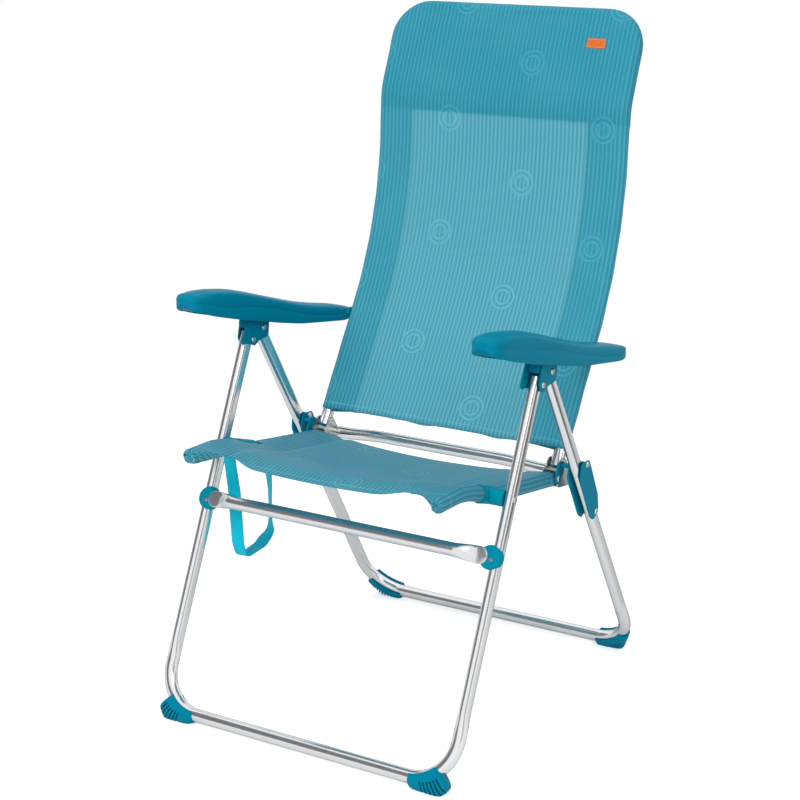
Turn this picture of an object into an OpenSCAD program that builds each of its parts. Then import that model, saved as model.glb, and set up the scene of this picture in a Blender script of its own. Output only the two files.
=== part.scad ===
// Folding reclining beach chair: aluminium legs, sling seat and back, moulded armrests.
// Millimetres, +Z up, the sitter faces -Y, +X is the sitter's left.

/* [Frame] */
// Half the distance between the centres of the leg tubes
leg_x = 277; // [250:1:310]
// Half the distance between the seat rails, and between the back's side tubes
rail_x = 232; // [200:1:260]
// Diameter of the round tubing
tube_d = 22; // [16:0.5:28]
// Wall thickness of the tubing
tube_wall = 1.2; // [0.8:0.1:2.5]
// Width of the flattened leg tubing, across the chair
oval_w = 15.5; // [10:0.5:20]
// Depth of the flattened leg tubing
oval_d = 25; // [20:0.5:30]
// Radius of the bends at the floor bars
bend_r = 72; // [50:1:100]
// Height of the floor bars' centres
bar_z = 15; // [13:0.5:20]
// Tilt of the front legs from vertical, in degrees
front_tilt = 23.9; // [15:0.1:30]

/* [Seat and back] */
// Thickness of the sling fabric
cloth = 1.6; // [0.8:0.05:3]
// Front hem of the seat fabric, ahead of the frame's origin
seat_hem = 175; // [120:1:220]
// Front ends of the seat sleeves, ahead of the frame's origin
horn_end = 231; // [190:1:260]
// How far the middle of the seat sags below its edges
seat_sag = 16; // [0:1:30]
// Height of the top bar of the back
top_z = 1123; // [1000:1:1200]
// Radius of the top corners of the back
top_r = 57; // [40:1:90]
// Width of the carrying strap
strap_w = 24; // [15:1:40]

/* [Joints] */
// Radius of the pivot rivets
rivet_r = 3.2; // [2:0.1:5]
// Running clearance of a rivet in its hole
run = 0.06; // [0.02:0.01:0.1]
// Radius of the pins that carry the armrest racks
notch_r = 3.5; // [2.5:0.1:5]
// Radius of the pins that carry the armrests
arm_pin_r = 3.2; // [2:0.1:5]

/* [Armrests] */
// Inner face of the armrests
arm_in = 250; // [246:1:258]
// Outer face of the armrests
arm_out = 300; // [290:1:320]
// Thickness of the armrests' walls
arm_wall = 5; // [2:0.5:8]
// Number of notches in the rack
notches = 5; // [3:1:7]

/* [Hidden] */
$fn = 72;
tr = tube_d / 2;
ti = tr - tube_wall;
sl = tr + 0.15;
so = sl + cloth;
pan_lo = sl + 0.3;
pan_hi = so - 0.2;
lap = 0.5;
slim = 0.05;
// Middle of the chair's depth, measured from the drawing origin under the front bracket
mid_y = 91.13;
// Pivot centres, [y, z], in the plane of the side view
piv_p = [34.3, 608.1];
piv_low = [4.1, 592.9];
piv_s = [-75, 426.2];
piv_l1 = [206.7, 326];
piv_l2 = [145, 394];
piv_h = [171, 410];
piv_a = [279, 588];
piv_n = [14, 632];
stop_c = [169.8, 418.5];
front_c = [-263.4 + bar_z * tan(front_tilt), bar_z];
rear_foot = [409.4, 0];
rear_tilt = atan2(rear_foot[0] - piv_p[0], piv_p[1]);
rear_c = [rear_foot[0] - bar_z * tan(rear_tilt), bar_z];
front_top = 645;
rear_top = norm(piv_p - rear_c);
flat_from = bend_r + 12;
flat_len = 30;
// Front brace in the plane of the front legs: n ahead of them (negative), s up along them
brace_n = -24.1;
brace_s = 355.6;
brace_round = 220;
brace_pressed = 250;
brace_tip = 267.5;
plate_n = -17.2;
plate_t = 3;
plate_r = 14;
seam_t = 0.6;
seam_w = 16;
foot_w = 30;
clip_x = 270;
clip_r = 19.5;
clip_face = -17.5;
clip_pin = [leg_x - 3.5, brace_s - 4];
clip_pin_r = 2.4;
// Walls of the leg brackets and of the links, on both sides of the leg tubes
wall_in = 264.5;
wall_out = 286.5;
wall_t = 3;
ear_x = 246.4;
rivet_head = 5.2;
rivet_rise = 1.8;
notch_clear = 0.7;
rail_path = [[220, 379, 0], [-48, 418, 40], [-128, 443.5, 150], [-160, 449.5, 120], [-223, 450.5, 0]];
back_tilt = 31.16;
top_tilt = 21.87;
back_v1 = [375.8, 747.6];
back_v2 = [383.7, 977.1];
back_v3 = [back_v2[0] + (top_z - back_v2[1]) * tan(top_tilt), top_z];
back_end = piv_h - 4 * [sin(back_tilt), cos(back_tilt)];
back_path = [[back_end[0], back_end[1], 0], [back_v1[0], back_v1[1], 645],
  [back_v2[0], back_v2[1], 109], [back_v3[0], top_z, 0]];
arm_top = [[-172, 703.5], [-118, 701], [-60, 691], [-7, 676], [47, 659.5], [132, 634],
  [191, 619.5], [247, 608], [297, 595]];
arm_low = [[-172, 685], [-170, 680], [-165, 675], [-119, 659], [-36, 636], [15, 624], [53, 614],
  [128, 597], [198, 586], [268, 575], [290, 575], [297, 579]];

alu = [0.80, 0.81, 0.83];
teal = [0.0, 0.45, 0.55];
weave = [0.24, 0.62, 0.70];
zinc = [0.60, 0.60, 0.60];

// ---- Geometry helpers ----
function unit(v) = v / norm(v);
function turn(a, b) = ((b - a + 540) % 360) - 180;
function corner(a, p, b, r, n) = let (u = unit(a - p), w = unit(b - p), h = acos(u * w) / 2,
  c = p + unit(u + w) * (r / sin(h)), s = p + u * (r / tan(h)), e = p + w * (r / tan(h)),
  a0 = atan2(s[1] - c[1], s[0] - c[0]), a1 = atan2(e[1] - c[1], e[0] - c[0]), d = turn(a0, a1))
  [for (i = [0 : n]) c + r * [cos(a0 + d * i / n), sin(a0 + d * i / n)]];
function xy(p) = [p[0], p[1]];
// Closed outline with rounded corners; each point is [y, z, radius]
function outline(p, n = 6) = [for (i = [0 : len(p) - 1]) let (k = len(p), q = p[i])
  each (q[2] > 0 ? corner(xy(p[(i + k - 1) % k]), xy(q), xy(p[(i + 1) % k]), q[2], n) : [xy(q)])];
// Open centre line with rounded corners
function line(p, n = 8) = [for (i = [0 : len(p) - 1]) let (q = p[i])
  each (q[2] > 0 ? corner(xy(p[i - 1]), xy(q), xy(p[i + 1]), q[2], n) : [xy(q)])];
function tangent(p, i) = unit(p[min(i + 1, len(p) - 1)] - p[max(i - 1, 0)]);
function shift(p, d) = [for (i = [0 : len(p) - 1]) let (t = tangent(p, i)) p[i] + d * [-t[1], t[0]]];
function back_to_front(p) = [for (i = [len(p) - 1 : -1 : 0]) p[i]];
function strip(p, a, b) = concat(shift(p, a), back_to_front(shift(p, b)));

module place() translate([0, -mid_y, 0]) children();
module both() { children(); mirror([1, 0, 0]) children(); }
module side(s) mirror([s < 0 ? 1 : 0, 0, 0]) children();
// Outline in the side view, extruded across the chair from x0 over t
module plate(x0, t, pts) translate([x0, 0, 0]) rotate([90, 0, 90]) linear_extrude(t) polygon(pts);
module across(p, x0, x1, r) translate([x0, p[0], p[1]]) rotate([0, 90, 0]) cylinder(h = x1 - x0, r = r);
module rod(a, b, r, e = 0) translate([0, a[0], a[1]]) rotate([atan2(a[0] - b[0], b[1] - a[1]), 0, 0])
  translate([0, 0, -e]) cylinder(h = norm(b - a) + 2 * e, r = r);
module arc_yz(c, rb, a0, d, r, g = 0) translate([0, c[0], c[1]]) rotate([90, 0, 90])
  rotate([0, 0, d < 0 ? a0 + d : a0]) rotate_extrude(angle = abs(d), $fn = rb > 300 ? 240 : 96)
  translate([rb, 0]) ring(r, g);
module ring(r, g) difference() {
  circle(r, $fn = 32);
  if (g > 0) circle(g, $fn = 32);
}
// Round bar, or tube when g > 0, along a centre line with rounded corners, in the plane x = 0
module path_bar(p, r, e = 0, g = 0) {
  n = len(p);
  for (i = [0 : n - 2]) {
    u = unit(xy(p[i + 1]) - xy(p[i]));
    ta = p[i][2] > 0 ? p[i][2] * tan(bend_at(p, i) / 2) - lap : -e;
    tb = p[i + 1][2] > 0 ? p[i + 1][2] * tan(bend_at(p, i + 1) / 2) - lap : -e;
    difference() {
      rod(xy(p[i]) + u * ta, xy(p[i + 1]) - u * tb, r, $fn = 32);
      if (g > 0) rod(xy(p[i]) + u * ta, xy(p[i + 1]) - u * tb, g, 1, $fn = 32);
    }
  }
  for (i = [1 : n - 2]) {
    u = unit(xy(p[i - 1]) - xy(p[i]));
    w = unit(xy(p[i + 1]) - xy(p[i]));
    h = acos(u * w) / 2;
    c = xy(p[i]) + unit(u + w) * (p[i][2] / sin(h));
    s = xy(p[i]) + u * (p[i][2] / tan(h)) - c;
    v = xy(p[i]) + w * (p[i][2] / tan(h)) - c;
    a0 = atan2(s[1], s[0]);
    arc_yz(c, p[i][2], a0, turn(a0, atan2(v[1], v[0])), r - slim, g > 0 ? g + slim : 0);
  }
}
function bend_at(p, i) =
  let (u = unit(xy(p[i]) - xy(p[i - 1])), w = unit(xy(p[i + 1]) - xy(p[i]))) acos(u * w);

// ---- Leg frames ----
module on_front() place() translate([0, front_c[0], front_c[1]]) rotate([-front_tilt, 0, 0]) children();
module on_rear() place() translate([0, rear_c[0], rear_c[1]]) rotate([rear_tilt, 0, 0]) children();
// Cylinder square to the front legs' plane, at p = [x, s], from n over a length h
module ahead(p, n, h, r) translate([p[0], n, p[1]]) rotate([-90, 0, 0]) cylinder(h = h, r = r);
module stadium(w, d) {
  square([w, d - w], center = true);
  translate([0, (d - w) / 2]) circle(w / 2);
  translate([0, (w - d) / 2]) circle(w / 2);
}
module floor_bend(r, a0, a1) translate([leg_x - bend_r, 0, bend_r]) rotate([90, 0, 0])
  rotate([0, 0, a0]) rotate_extrude(angle = a1 - a0) translate([bend_r, 0]) circle(r);
module leg_side(g, top) {
  floor_bend(tr - g, -90, 0);
  translate([leg_x, 0, bend_r]) cylinder(h = flat_from - bend_r, r = tr - g);
  hull() {
    translate([leg_x, 0, flat_from]) cylinder(h = 0.02, r = tr - g, $fn = 40);
    translate([leg_x, 0, flat_from + flat_len - 0.02]) linear_extrude(0.02)
      stadium(oval_w - 2 * g, oval_d - 2 * g, $fn = 40);
  }
  translate([leg_x, 0, flat_from + flat_len - 0.02]) linear_extrude(top - flat_from - flat_len)
    stadium(oval_w - 2 * g, oval_d - 2 * g);
}
module leg_u(g, top) {
  translate([-(leg_x - bend_r), 0, 0]) rotate([0, 90, 0]) cylinder(h = 2 * (leg_x - bend_r), r = tr - g);
  leg_side(g, top);
  mirror([1, 0, 0]) leg_side(g, top);
}
module front_leg_frame() color(alu) difference() {
  on_front() difference() { leg_u(0, front_top); leg_u(tube_wall, front_top + 2); }
  place() both() {
    across(piv_low, leg_x - 20, leg_x + 20, rivet_r);
    across(piv_s, leg_x - 20, leg_x + 20, rivet_r + 0.4);
  }
  on_front() both() ahead(clip_pin, brace_n, 26, clip_pin_r);
}
module rear_leg_frame() color(alu) difference() {
  on_rear() difference() { leg_u(0, rear_top + 13); leg_u(tube_wall, rear_top + 20); }
  place() both() {
    across(piv_p, leg_x - 20, leg_x + 20, rivet_r + run);
    across(piv_l1, leg_x - 20, leg_x + 20, rivet_r);
  }
  on_rear() both() difference() {
    translate([leg_x - 12, -20, rear_top]) cube([24, 40, 30]);
    translate([leg_x - 13, 0, rear_top]) rotate([0, 90, 0]) cylinder(h = 26, r = oval_d / 2);
  }
}
// Moulded foot: a wedge block under the bend, smooth inboard and slotted outboard
sole_inner = [[207, 10, 1], [206, -10, 6], [212, -28, 1]];
front_sole = outline(concat(sole_inner, [[266, -28, 1], [272, -11, 8], [279, -2, 5], [278, 5, 3],
  [264, 14.5, 2], [250, 28, 1]]));
rear_sole = outline(concat(sole_inner, [[258, -28, 1], [260, -16, 8], [277, 21.5, 3], [272, 25.5, 2],
  [258, 35, 1]]));
module foot_clip(sole) difference() {
  translate([0, foot_w / 2, 0]) rotate([90, 0, 0]) linear_extrude(height = foot_w) polygon(sole);
  floor_bend(tr, -90, 0);
  translate([leg_x - bend_r - 20, 0, 0]) rotate([0, 90, 0]) cylinder(h = 20 + lap, r = tr + 0.03);
  translate([leg_x - bend_r, 0, bend_r]) rotate([90, 0, 0]) cylinder(h = 60, r = bend_r - 3, center = true);
  for (i = [0 : 5]) translate([leg_x - bend_r, 0, bend_r]) rotate([90, 0, 0]) rotate([0, 0, -69.5 + 4 * i])
    translate([bend_r + 13.5, -1.2, -30]) cube([30, 2.4, 60]);
}
module front_foot(s) color(teal) intersection() {
  on_front() side(s) foot_clip(front_sole);
  place() side(s) translate([170, front_c[0] - 40, 0]) cube([130, 90, 70]);
}
module rear_foot(s) color(teal) intersection() {
  on_rear() side(s) foot_clip(rear_sole);
  place() side(s) translate([170, rear_c[0] - 50, 0]) cube([130, 90, 70]);
}
module front_foot_left() front_foot(1);
module front_foot_right() front_foot(-1);
module rear_foot_left() rear_foot(1);
module rear_foot_right() rear_foot(-1);

// ---- Front brace: a round tube, its ends pressed flat and held in the sockets of the clips ----
module front_brace() color(alu) on_front() difference() {
  union() {
    difference() {
      brace_round_bar(tr, brace_round + 1);
      brace_round_bar(ti, brace_round + 2);
    }
    both() difference() {
      brace_flare(slim, 0);
      brace_flare(tube_wall + slim, 0.5);
    }
    both() hull() {
      ahead([brace_tip - plate_r, brace_s], plate_n - plate_t / 2, plate_t, plate_r);
      translate([brace_pressed - lap, plate_n - plate_t / 2, brace_s - plate_r + lap])
        cube([1, plate_t, 2 * (plate_r - lap)]);
    }
  }
  // Seam left between the pressed walls
  both() translate([brace_pressed - 12, plate_n - seam_t / 2, brace_s - seam_w / 2])
    cube([31, seam_t, seam_w]);
}
module brace_round_bar(r, reach) translate([-reach, brace_n, brace_s]) rotate([0, 90, 0])
  cylinder(h = 2 * reach, r = r);
module brace_flare(g, e) hull() {
  translate([brace_round - e, brace_n, brace_s]) rotate([0, 90, 0]) cylinder(h = 0.1, r = tr - g, $fn = 40);
  translate([brace_pressed - e, plate_n, brace_s]) rotate([90, 0, 90]) linear_extrude(0.1)
    square([max(plate_t - 2 * g, 0.8), 2 * (plate_r - lap - g)], center = true);
}
// Domed cap on the leg, with a socket for the brace's pressed end
module brace_clip(s) color(teal) on_front() side(s) difference() {
  hull() {
    ahead([clip_x, brace_s], clip_face, 1, clip_r - 4);
    ahead([clip_x, brace_s], clip_face + 3, 10.5, clip_r);
  }
  translate([leg_x, 0, brace_s - 60]) linear_extrude(120) stadium(oval_w, oval_d);
  hull() {
    ahead([brace_tip - plate_r, brace_s], -30, 30 + plate_n + plate_t / 2, plate_r + run);
    translate([clip_x - clip_r - 2, -30, brace_s - plate_r - run])
      cube([1, 30 + plate_n + plate_t / 2, 2 * (plate_r + run)]);
  }
  ahead(clip_pin, -40, 60, clip_pin_r);
}
module brace_clip_left() brace_clip(1);
module brace_clip_right() brace_clip(-1);
module brace_rivets() color(alu) on_front() both() {
  ahead(clip_pin, clip_face - 1.9, 14.4, clip_pin_r);
  translate([clip_pin[0], clip_face - 2, clip_pin[1]]) rotate([-90, 0, 0])
    cylinder(h = 2, r1 = clip_pin_r + 0.8, r2 = clip_pin_r + 1.8);
}

// ---- Leg brackets, their rivets and the notch pins ----
bracket_heel = [[8, 581, 6], [22, 588, 6], [48, 590, 8], [51, 616, 8], [40, 632, 8], [24, 640, 6]];
out_wall = outline(concat([[2, 640, 6], [-9, 596, 6], [-4, 583, 5]], bracket_heel));
in_wall = outline(concat([[-6, 640, 6], [-29, 596, 4], [-26, 590, 3], [-8, 588, 4]], bracket_heel));
// Web between the two walls of a bracket or link
module web(pts) plate(wall_in + wall_t - 0.1, wall_out - wall_in - wall_t + 0.2, pts);
module leg_bracket(s) color(teal) place() side(s) difference() {
  union() {
    plate(wall_in, wall_t, in_wall);
    plate(wall_out, wall_t, out_wall);
    web([[-8, 614], [-5, 614], [3, 637], [-3, 637], [-8, 622]]);
  }
  across(piv_p, 260, 295, rivet_r);
  across(piv_low, 260, 295, rivet_r);
  across(piv_n, 260, 295, notch_r);
}
module leg_bracket_left() leg_bracket(1);
module leg_bracket_right() leg_bracket(-1);
// Rivet through both walls, with the play e under its heads
module rivet(p, e = 0) {
  x0 = wall_in - e;
  x1 = wall_out + wall_t + e;
  across(p, x0, x1, rivet_r);
  translate([x1, p[0], p[1]]) rotate([0, 90, 0]) rivet_cap();
  translate([x0, p[0], p[1]]) rotate([0, -90, 0]) rivet_cap();
}
module rivet_cap() cylinder(h = rivet_rise, r1 = rivet_head, r2 = rivet_head - 1);
module bracket_rivets() color(zinc) place() both() rivet(piv_low);
module leg_pivot_rivets() color(zinc) place() both() rivet(piv_p);
module notch_pins() color(alu) place() both() across(piv_n, 263.5, 290.5, notch_r);
module seat_pivot_rivets() color(zinc) place() both() {
  across(piv_s, 247, leg_x + oval_w / 2, rivet_r);
  across(piv_s, leg_x - oval_w / 2, leg_x + oval_w / 2, rivet_r + 0.4);
  translate([leg_x + oval_w / 2, piv_s[0], piv_s[1]]) rotate([0, 90, 0]) rivet_cap();
}

// ---- Links between the rear legs and the seat ----
link_foot = [[164.5, 360, 20], [186, 322, 12], [197, 314, 4], [208, 318, 6], [217, 330, 6],
  [213, 356, 14], [178, 425, 8]];
link_out = outline(concat([[150, 424, 6], [147, 395, 10]], link_foot));
link_in = outline(concat([[150, 424, 6], [143, 400, 6], [150, 384, 10]], link_foot));
link_ear = outline([[138, 408, 7], [134, 388, 8], [146, 383, 6], [164, 400, 6], [164, 420, 6],
  [150, 422, 6]]);
link_arm = outline([[151, 412, 0.5], [154, 412, 0.5], [164, 414, 0.5], [164, 417, 0.5], [151, 417, 0.5]]);
module rear_link(s) color(teal) place() side(s) difference() {
  union() {
    plate(wall_in, wall_t, link_in);
    plate(wall_out, wall_t, link_out);
    web([[172.6, 409], [175.2, 410.6], [166.8, 424.2], [164.2, 422.6]]);
    plate(ear_x, wall_t, link_ear);
    plate(ear_x + wall_t - 0.1, wall_in - ear_x - wall_t + 0.2, link_arm);
  }
  across(piv_l1, 260, 295, rivet_r + run);
  across(stop_c, 260, 295, rivet_r);
  across(piv_l2, 240, 255, rivet_r);
}
module rear_link_left() rear_link(1);
module rear_link_right() rear_link(-1);
module link_leg_rivets() color(zinc) place() both() rivet(piv_l1, 0.3);
module link_stop_rivets() color(zinc) place() both() rivet(stop_c);
module link_seat_rivets() color(zinc) place() both() {
  across(piv_l2, ear_x, ear_x + wall_t, rivet_r);
  translate([ear_x + wall_t, piv_l2[0], piv_l2[1]]) rotate([0, 90, 0]) rivet_cap();
}

// ---- Seat ----
module seat_frame() color(alu) place() both() translate([rail_x, 0, 0]) path_bar(rail_path, tr, 0, ti);
rear_bar_c = [186, 394.5];
rear_bar_r = 10.5;
module seat_rear_bar() color(alu) place() difference() {
  across(rear_bar_c, -217.9, 217.9, rear_bar_r);
  across(rear_bar_c, -220, 220, rear_bar_r - tube_wall);
}
rail_a = rail_path[1];
rail_b = rail_path[2];
function on_line(a, b, y) = [y, a[1] + (b[1] - a[1]) * (y - a[0]) / (b[0] - a[0]), 0];
// Ends of the sleeves on each rail; the cut-outs between them bare the rails for the collars
gap_front = -97;
gap_rear = -44;
sleeve_rear = 144;
front_sleeve = [on_line(rail_a, rail_b, gap_front), rail_b, rail_path[3],
  on_line(rail_path[3], rail_path[4], 9 - horn_end)];
rear_sleeve = [on_line(rail_path[0], rail_a, sleeve_rear), on_line(rail_path[0], rail_a, gap_rear)];
module seat_fabric() color(weave) place() {
  both() translate([rail_x, 0, 0]) {
    path_bar(front_sleeve, so, 0, sl);
    path_bar(rear_sleeve, so, 0, sl);
  }
  difference() {
    union() {
      panel(on_line(rail_path[0], rail_a, sleeve_rear - 0.5), rail_a, 0, 0.2);
      panel(rail_a, rail_b, 0, 0.3);
      panel(rail_b, rail_path[3], 0, 0.3);
      panel(rail_path[3], on_line(rail_path[3], rail_path[4], -seat_hem), 0, 0);
    }
    both() plate(rail_x - 20, 40, [[gap_front, 400], [gap_rear, 400], [gap_rear, 460], [gap_front, 460]]);
  }
}
// Cross-section of the sagging panel, [x, height above the rails' centre line]
panel_t = 1.1;
function sag(x) = pan_hi - seat_sag * (1 - pow(x / rail_x, 2));
panel_top = [for (i = [-10 : 10]) [i * rail_x / 10, sag(i * rail_x / 10)]];
module panel(a, b, e0, e1) {
  u = unit(xy(b) - xy(a));
  translate([0, a[0], a[1]]) rotate([270 + atan2(u[1], u[0]), 0, 0]) translate([0, 0, -e0])
    linear_extrude(norm(xy(b) - xy(a)) + e0 + e1)
    polygon(concat(panel_top, back_to_front([for (q = panel_top) q - [0, panel_t]])));
}
collar_r = 15;
collar_boss_r = 13.5;
function on_slope(y) = xy(on_line(rail_a, rail_b, y));
module seat_collar(s) color(teal) place() side(s) difference() {
  union() {
    translate([rail_x, 0, 0]) rod(on_slope(-94), on_slope(-54), collar_r);
    across(piv_s, 244, 268.8, collar_boss_r);
  }
  translate([rail_x, 0, 0]) rod(on_slope(-98), on_slope(-50), tr);
  across(piv_s, 245.5, 270, rivet_r + run);
}
module seat_collar_left() seat_collar(1);
module seat_collar_right() seat_collar(-1);
clevis_wall = outline([[147, 406, 3], [150, 376, 5], [198, 369, 5], [201, 384, 4], [182, 412, 6],
  [177, 420, 5], [165, 420, 5], [158, 408, 6]]);
clevis_t = 2.5;
clevis_in = 218;
clevis_out = 243.5;
module clevis_web(pts) plate(clevis_in + clevis_t - 0.1, clevis_out - clevis_in - clevis_t + 0.2, pts);
module hinge_clevis(s) color(zinc) place() side(s) difference() {
  union() {
    plate(clevis_in, clevis_t, clevis_wall);
    plate(clevis_out, clevis_t, clevis_wall);
    clevis_web([[147, 405], [149.4, 405], [152, 389], [149, 389]]);
    clevis_web([[151, 378.6], [197, 371.6], [196.7, 369.2], [150.7, 376.2]]);
  }
  translate([rail_x, 0, 0])
    rod(xy(on_line(rail_path[0], rail_a, 225)), xy(on_line(rail_path[0], rail_a, 120)), tr);
  across(piv_h, 210, 250, rivet_r + run);
}
module hinge_clevis_left() hinge_clevis(1);
module hinge_clevis_right() hinge_clevis(-1);
strap_line = line([[-106, 423, 0], [-96, 330, 60], [-54, 222, 30], [-22, 330, 60], [2, 397.2, 0]], 6);
strap_x = -240;
strap_t = 1.6;
module carry_strap() color([0.0, 0.70, 0.80]) place()
  plate(strap_x - strap_w / 2, strap_w, strip(strap_line, -strap_t / 2, strap_t / 2));

// ---- Back ----
module hinge_rivets() color(zinc) place() both() {
  across(piv_h, clevis_in - 0.4, ear_x - 0.05, rivet_r);
  across(piv_h, clevis_out + clevis_t, ear_x - 0.05, rivet_head);
  translate([clevis_in, piv_h[0], piv_h[1]]) rotate([0, -90, 0]) rivet_cap();
}
corner_p = back_v3 - top_r * [sin(top_tilt), cos(top_tilt)];
back_low = [back_path[0], back_path[1], back_path[2], [corner_p[0], corner_p[1], 0]];
module on_top() translate([0, back_v3[0], back_v3[1]]) rotate([-top_tilt, 0, 0]) children();
module top_hoop(r, g) on_top() {
  difference() {
    translate([-(rail_x - top_r) - lap, 0, 0]) rotate([0, 90, 0])
      cylinder(h = 2 * (rail_x - top_r + lap), r = r, $fn = 32);
    translate([-rail_x, 0, 0]) rotate([0, 90, 0]) cylinder(h = 2 * rail_x, r = g, $fn = 32);
  }
  both() translate([rail_x - top_r, 0, -top_r]) rotate([90, 0, 0]) rotate_extrude(angle = 90)
    translate([top_r, 0]) ring(r - slim, g + slim);
}
module back_bar(p, r, g) {
  both() translate([rail_x, 0, 0]) path_bar(p, r, lap, g);
  top_hoop(r, g);
}
module back_frame() color(alu) place() difference() {
  back_bar(back_low, tr, ti);
  both() across(piv_h, 215, 250, rivet_r + run);
  both() across(piv_a, 215, 250, arm_pin_r + run);
}
function up_back(d) = back_end + d * [sin(back_tilt), cos(back_tilt)];
module back_tube_plugs() color(teal) place() both() translate([rail_x, 0, 0]) difference() {
  union() {
    rod(up_back(-1.8 - lap), up_back(-lap), tr - 0.4);
    rod(up_back(-0.6), up_back(22), ti - run);
  }
  translate([-rail_x, 0, 0]) across(piv_h, 215, 250, rivet_r + run);
}
sleeve_low = 431;
back_hem = piv_h + (sleeve_low - piv_h[1]) * [tan(back_tilt), 1];
sleeve_path = [[back_hem[0], back_hem[1], 0], back_path[1], back_path[2], back_low[3]];
back_line = line(sleeve_path, 12);
module back_fabric() color(weave) place() difference() {
  union() {
    back_bar(sleeve_path, so, sl);
    plate(-rail_x, 2 * rail_x, strip(back_line, pan_lo, pan_hi));
    on_top() translate([0, -pan_lo, 0]) rotate([90, 0, 0]) linear_extrude(pan_hi - pan_lo) {
      translate([-(rail_x - top_r), -top_r]) square([2 * (rail_x - top_r), top_r]);
      translate([-rail_x, -top_r - 0.4]) square([2 * rail_x, 0.4]);
      both() translate([rail_x - top_r, -top_r]) circle(top_r);
    }
  }
  both() across(piv_a, rail_x, 262, bush_flange_r + 3);
  both() across(piv_a, 215, 240, pin_head_r + 0.7);
}
module label_tag() color([0.90, 0.40, 0.10]) place() translate([166, back_v3[0], back_v3[1]])
  rotate([-top_tilt, 0, 0]) translate([-17.5, -pan_hi - 1, -60.5]) cube([35, 1, 17]);

// ---- Armrests ----
bush_flange_r = 10;
bush_r = 5.5;
pin_head_r = 6.5;
module armrest_pin(s) color(zinc) place() side(s) {
  across(piv_a, 219.6, 256, arm_pin_r);
  across(piv_a, 218, 220, pin_head_r);
  across(piv_a, 255.6, 257.6, 4.6);
}
module armrest_bush(s) color(teal) place() side(s) difference() {
  union() {
    across(piv_a, 244.9, 249.6, bush_flange_r);
    across(piv_a, 249, 255.2, bush_r);
  }
  across(piv_a, 240, 260, arm_pin_r + run);
}
module armrest_pin_left() armrest_pin(1);
module armrest_pin_right() armrest_pin(-1);
module armrest_bush_left() armrest_bush(1);
module armrest_bush_right() armrest_bush(-1);
// Closed solid through a row of rings that have the same number of points
module loft(rings) {
  n = len(rings[0]);
  m = len(rings);
  polyhedron(
    points = [for (q = rings) each q],
    faces = concat([[for (j = [n - 1 : -1 : 0]) j]], [[for (j = [0 : n - 1]) (m - 1) * n + j]],
      [for (i = [0 : m - 2]) for (j = [0 : n - 1]) let (a = i * n + j, b = i * n + (j + 1) % n)
        each [[a, b, b + n], [a, b + n, a + n]]]));
}
// Stations along the armrest: [depth, half width, height of the top]
arm_nose = [[-172, 17, 695.5], [-171, 20, 698.2], [-168, 22.4, 700.3], [-162, 24.2, 701.6],
  [-150, 25, 702.2]];
arm_run = [for (y = [-135 : 18 : 279]) [y, 25, lookup(y, arm_top)]];
arm_tail = [[288, 24.4, lookup(288, arm_top) - 0.6], [294, 22.5, 592.6], [297, 19, 589]];
arm_mid = (arm_in + arm_out) / 2;
arm_crown = 1.2;
// Quarter-round shoulder of the armrest's top, from angle a0 on
function shoulder(x, z, r, a0) =
  [for (a = [a0 : 30 : a0 + 90]) [x + r * cos(a), z - r - arm_crown + r * sin(a)]];
module arm_body() loft([for (q = concat(arm_nose, arm_run, arm_tail))
  let (b = lookup(q[0], arm_low), r = min(7, (q[2] - b) * 0.4))
  [for (p = concat([[-q[1], b], [q[1], b]], shoulder(q[1] - r, q[2], r, 0), [[0, q[2]]],
    shoulder(r - q[1], q[2], r, 90))) [arm_mid + p[0], q[0], p[1]]]]);
module arm_hollow(drop) loft([for (y = [-150, for (y = [-135 : 18 : 279]) y, 288])
  let (w = (arm_out - arm_in) / 2 - arm_wall, t = lookup(y, arm_top) - drop)
  [for (p = [[-w, 540], [w, 540], [w, t - 1.5], [w - 1.5, t], [1.5 - w, t], [-w, t - 1.5]])
    [arm_mid + p[0], y, p[1]]]]);
arm_u = unit(piv_n - piv_a);
arm_v = [-arm_u[1], arm_u[0]] * -1;
function on_arm(s, h) = piv_a + s * arm_u + h * arm_v;
// Rack under the armrest: a notch for each position of the back, at a fixed pitch along the arm
rack_low = notch_r + notch_clear;
rack_deep = rack_low + 5;
rack_pitch = 25.6;
rack_first = 269;
rack_x = leg_x - 7.5;
rack_w = 15;
function rack_pts() = concat([on_arm(rack_first - 11, 46)],
  [for (i = [0 : notches - 1]) let (s = rack_first + i * rack_pitch)
    each [on_arm(s - 9, rack_low), on_arm(s - 4, rack_low), on_arm(s - 4, rack_deep),
      on_arm(s + 4.6, rack_deep), on_arm(s + 9, rack_low)]],
  [on_arm(rack_first - 1 + notches * rack_pitch, 50)]);
module armrest(s) color(teal) place() side(s) difference() {
  union() {
    difference() {
      arm_body();
      arm_hollow(arm_wall);
    }
    intersection() {
      plate(rack_x, rack_w, rack_pts());
      arm_hollow(arm_wall - 2);
    }
  }
  across(piv_a, 240, 262, bush_r + run);
}
module armrest_left() armrest(1);
module armrest_right() armrest(-1);

front_leg_frame();
front_brace();
brace_clip_left();
brace_clip_right();
brace_rivets();
front_foot_left();
front_foot_right();
leg_bracket_left();
leg_bracket_right();
bracket_rivets();
leg_pivot_rivets();
notch_pins();
seat_pivot_rivets();
rear_leg_frame();
rear_foot_left();
rear_foot_right();
link_leg_rivets();
rear_link_left();
rear_link_right();
link_stop_rivets();
link_seat_rivets();
seat_frame();
seat_rear_bar();
seat_fabric();
seat_collar_left();
seat_collar_right();
hinge_clevis_left();
hinge_clevis_right();
carry_strap();
hinge_rivets();
back_frame();
back_tube_plugs();
back_fabric();
label_tag();
armrest_pin_left();
armrest_pin_right();
armrest_bush_left();
armrest_bush_right();
armrest_left();
armrest_right();
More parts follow.
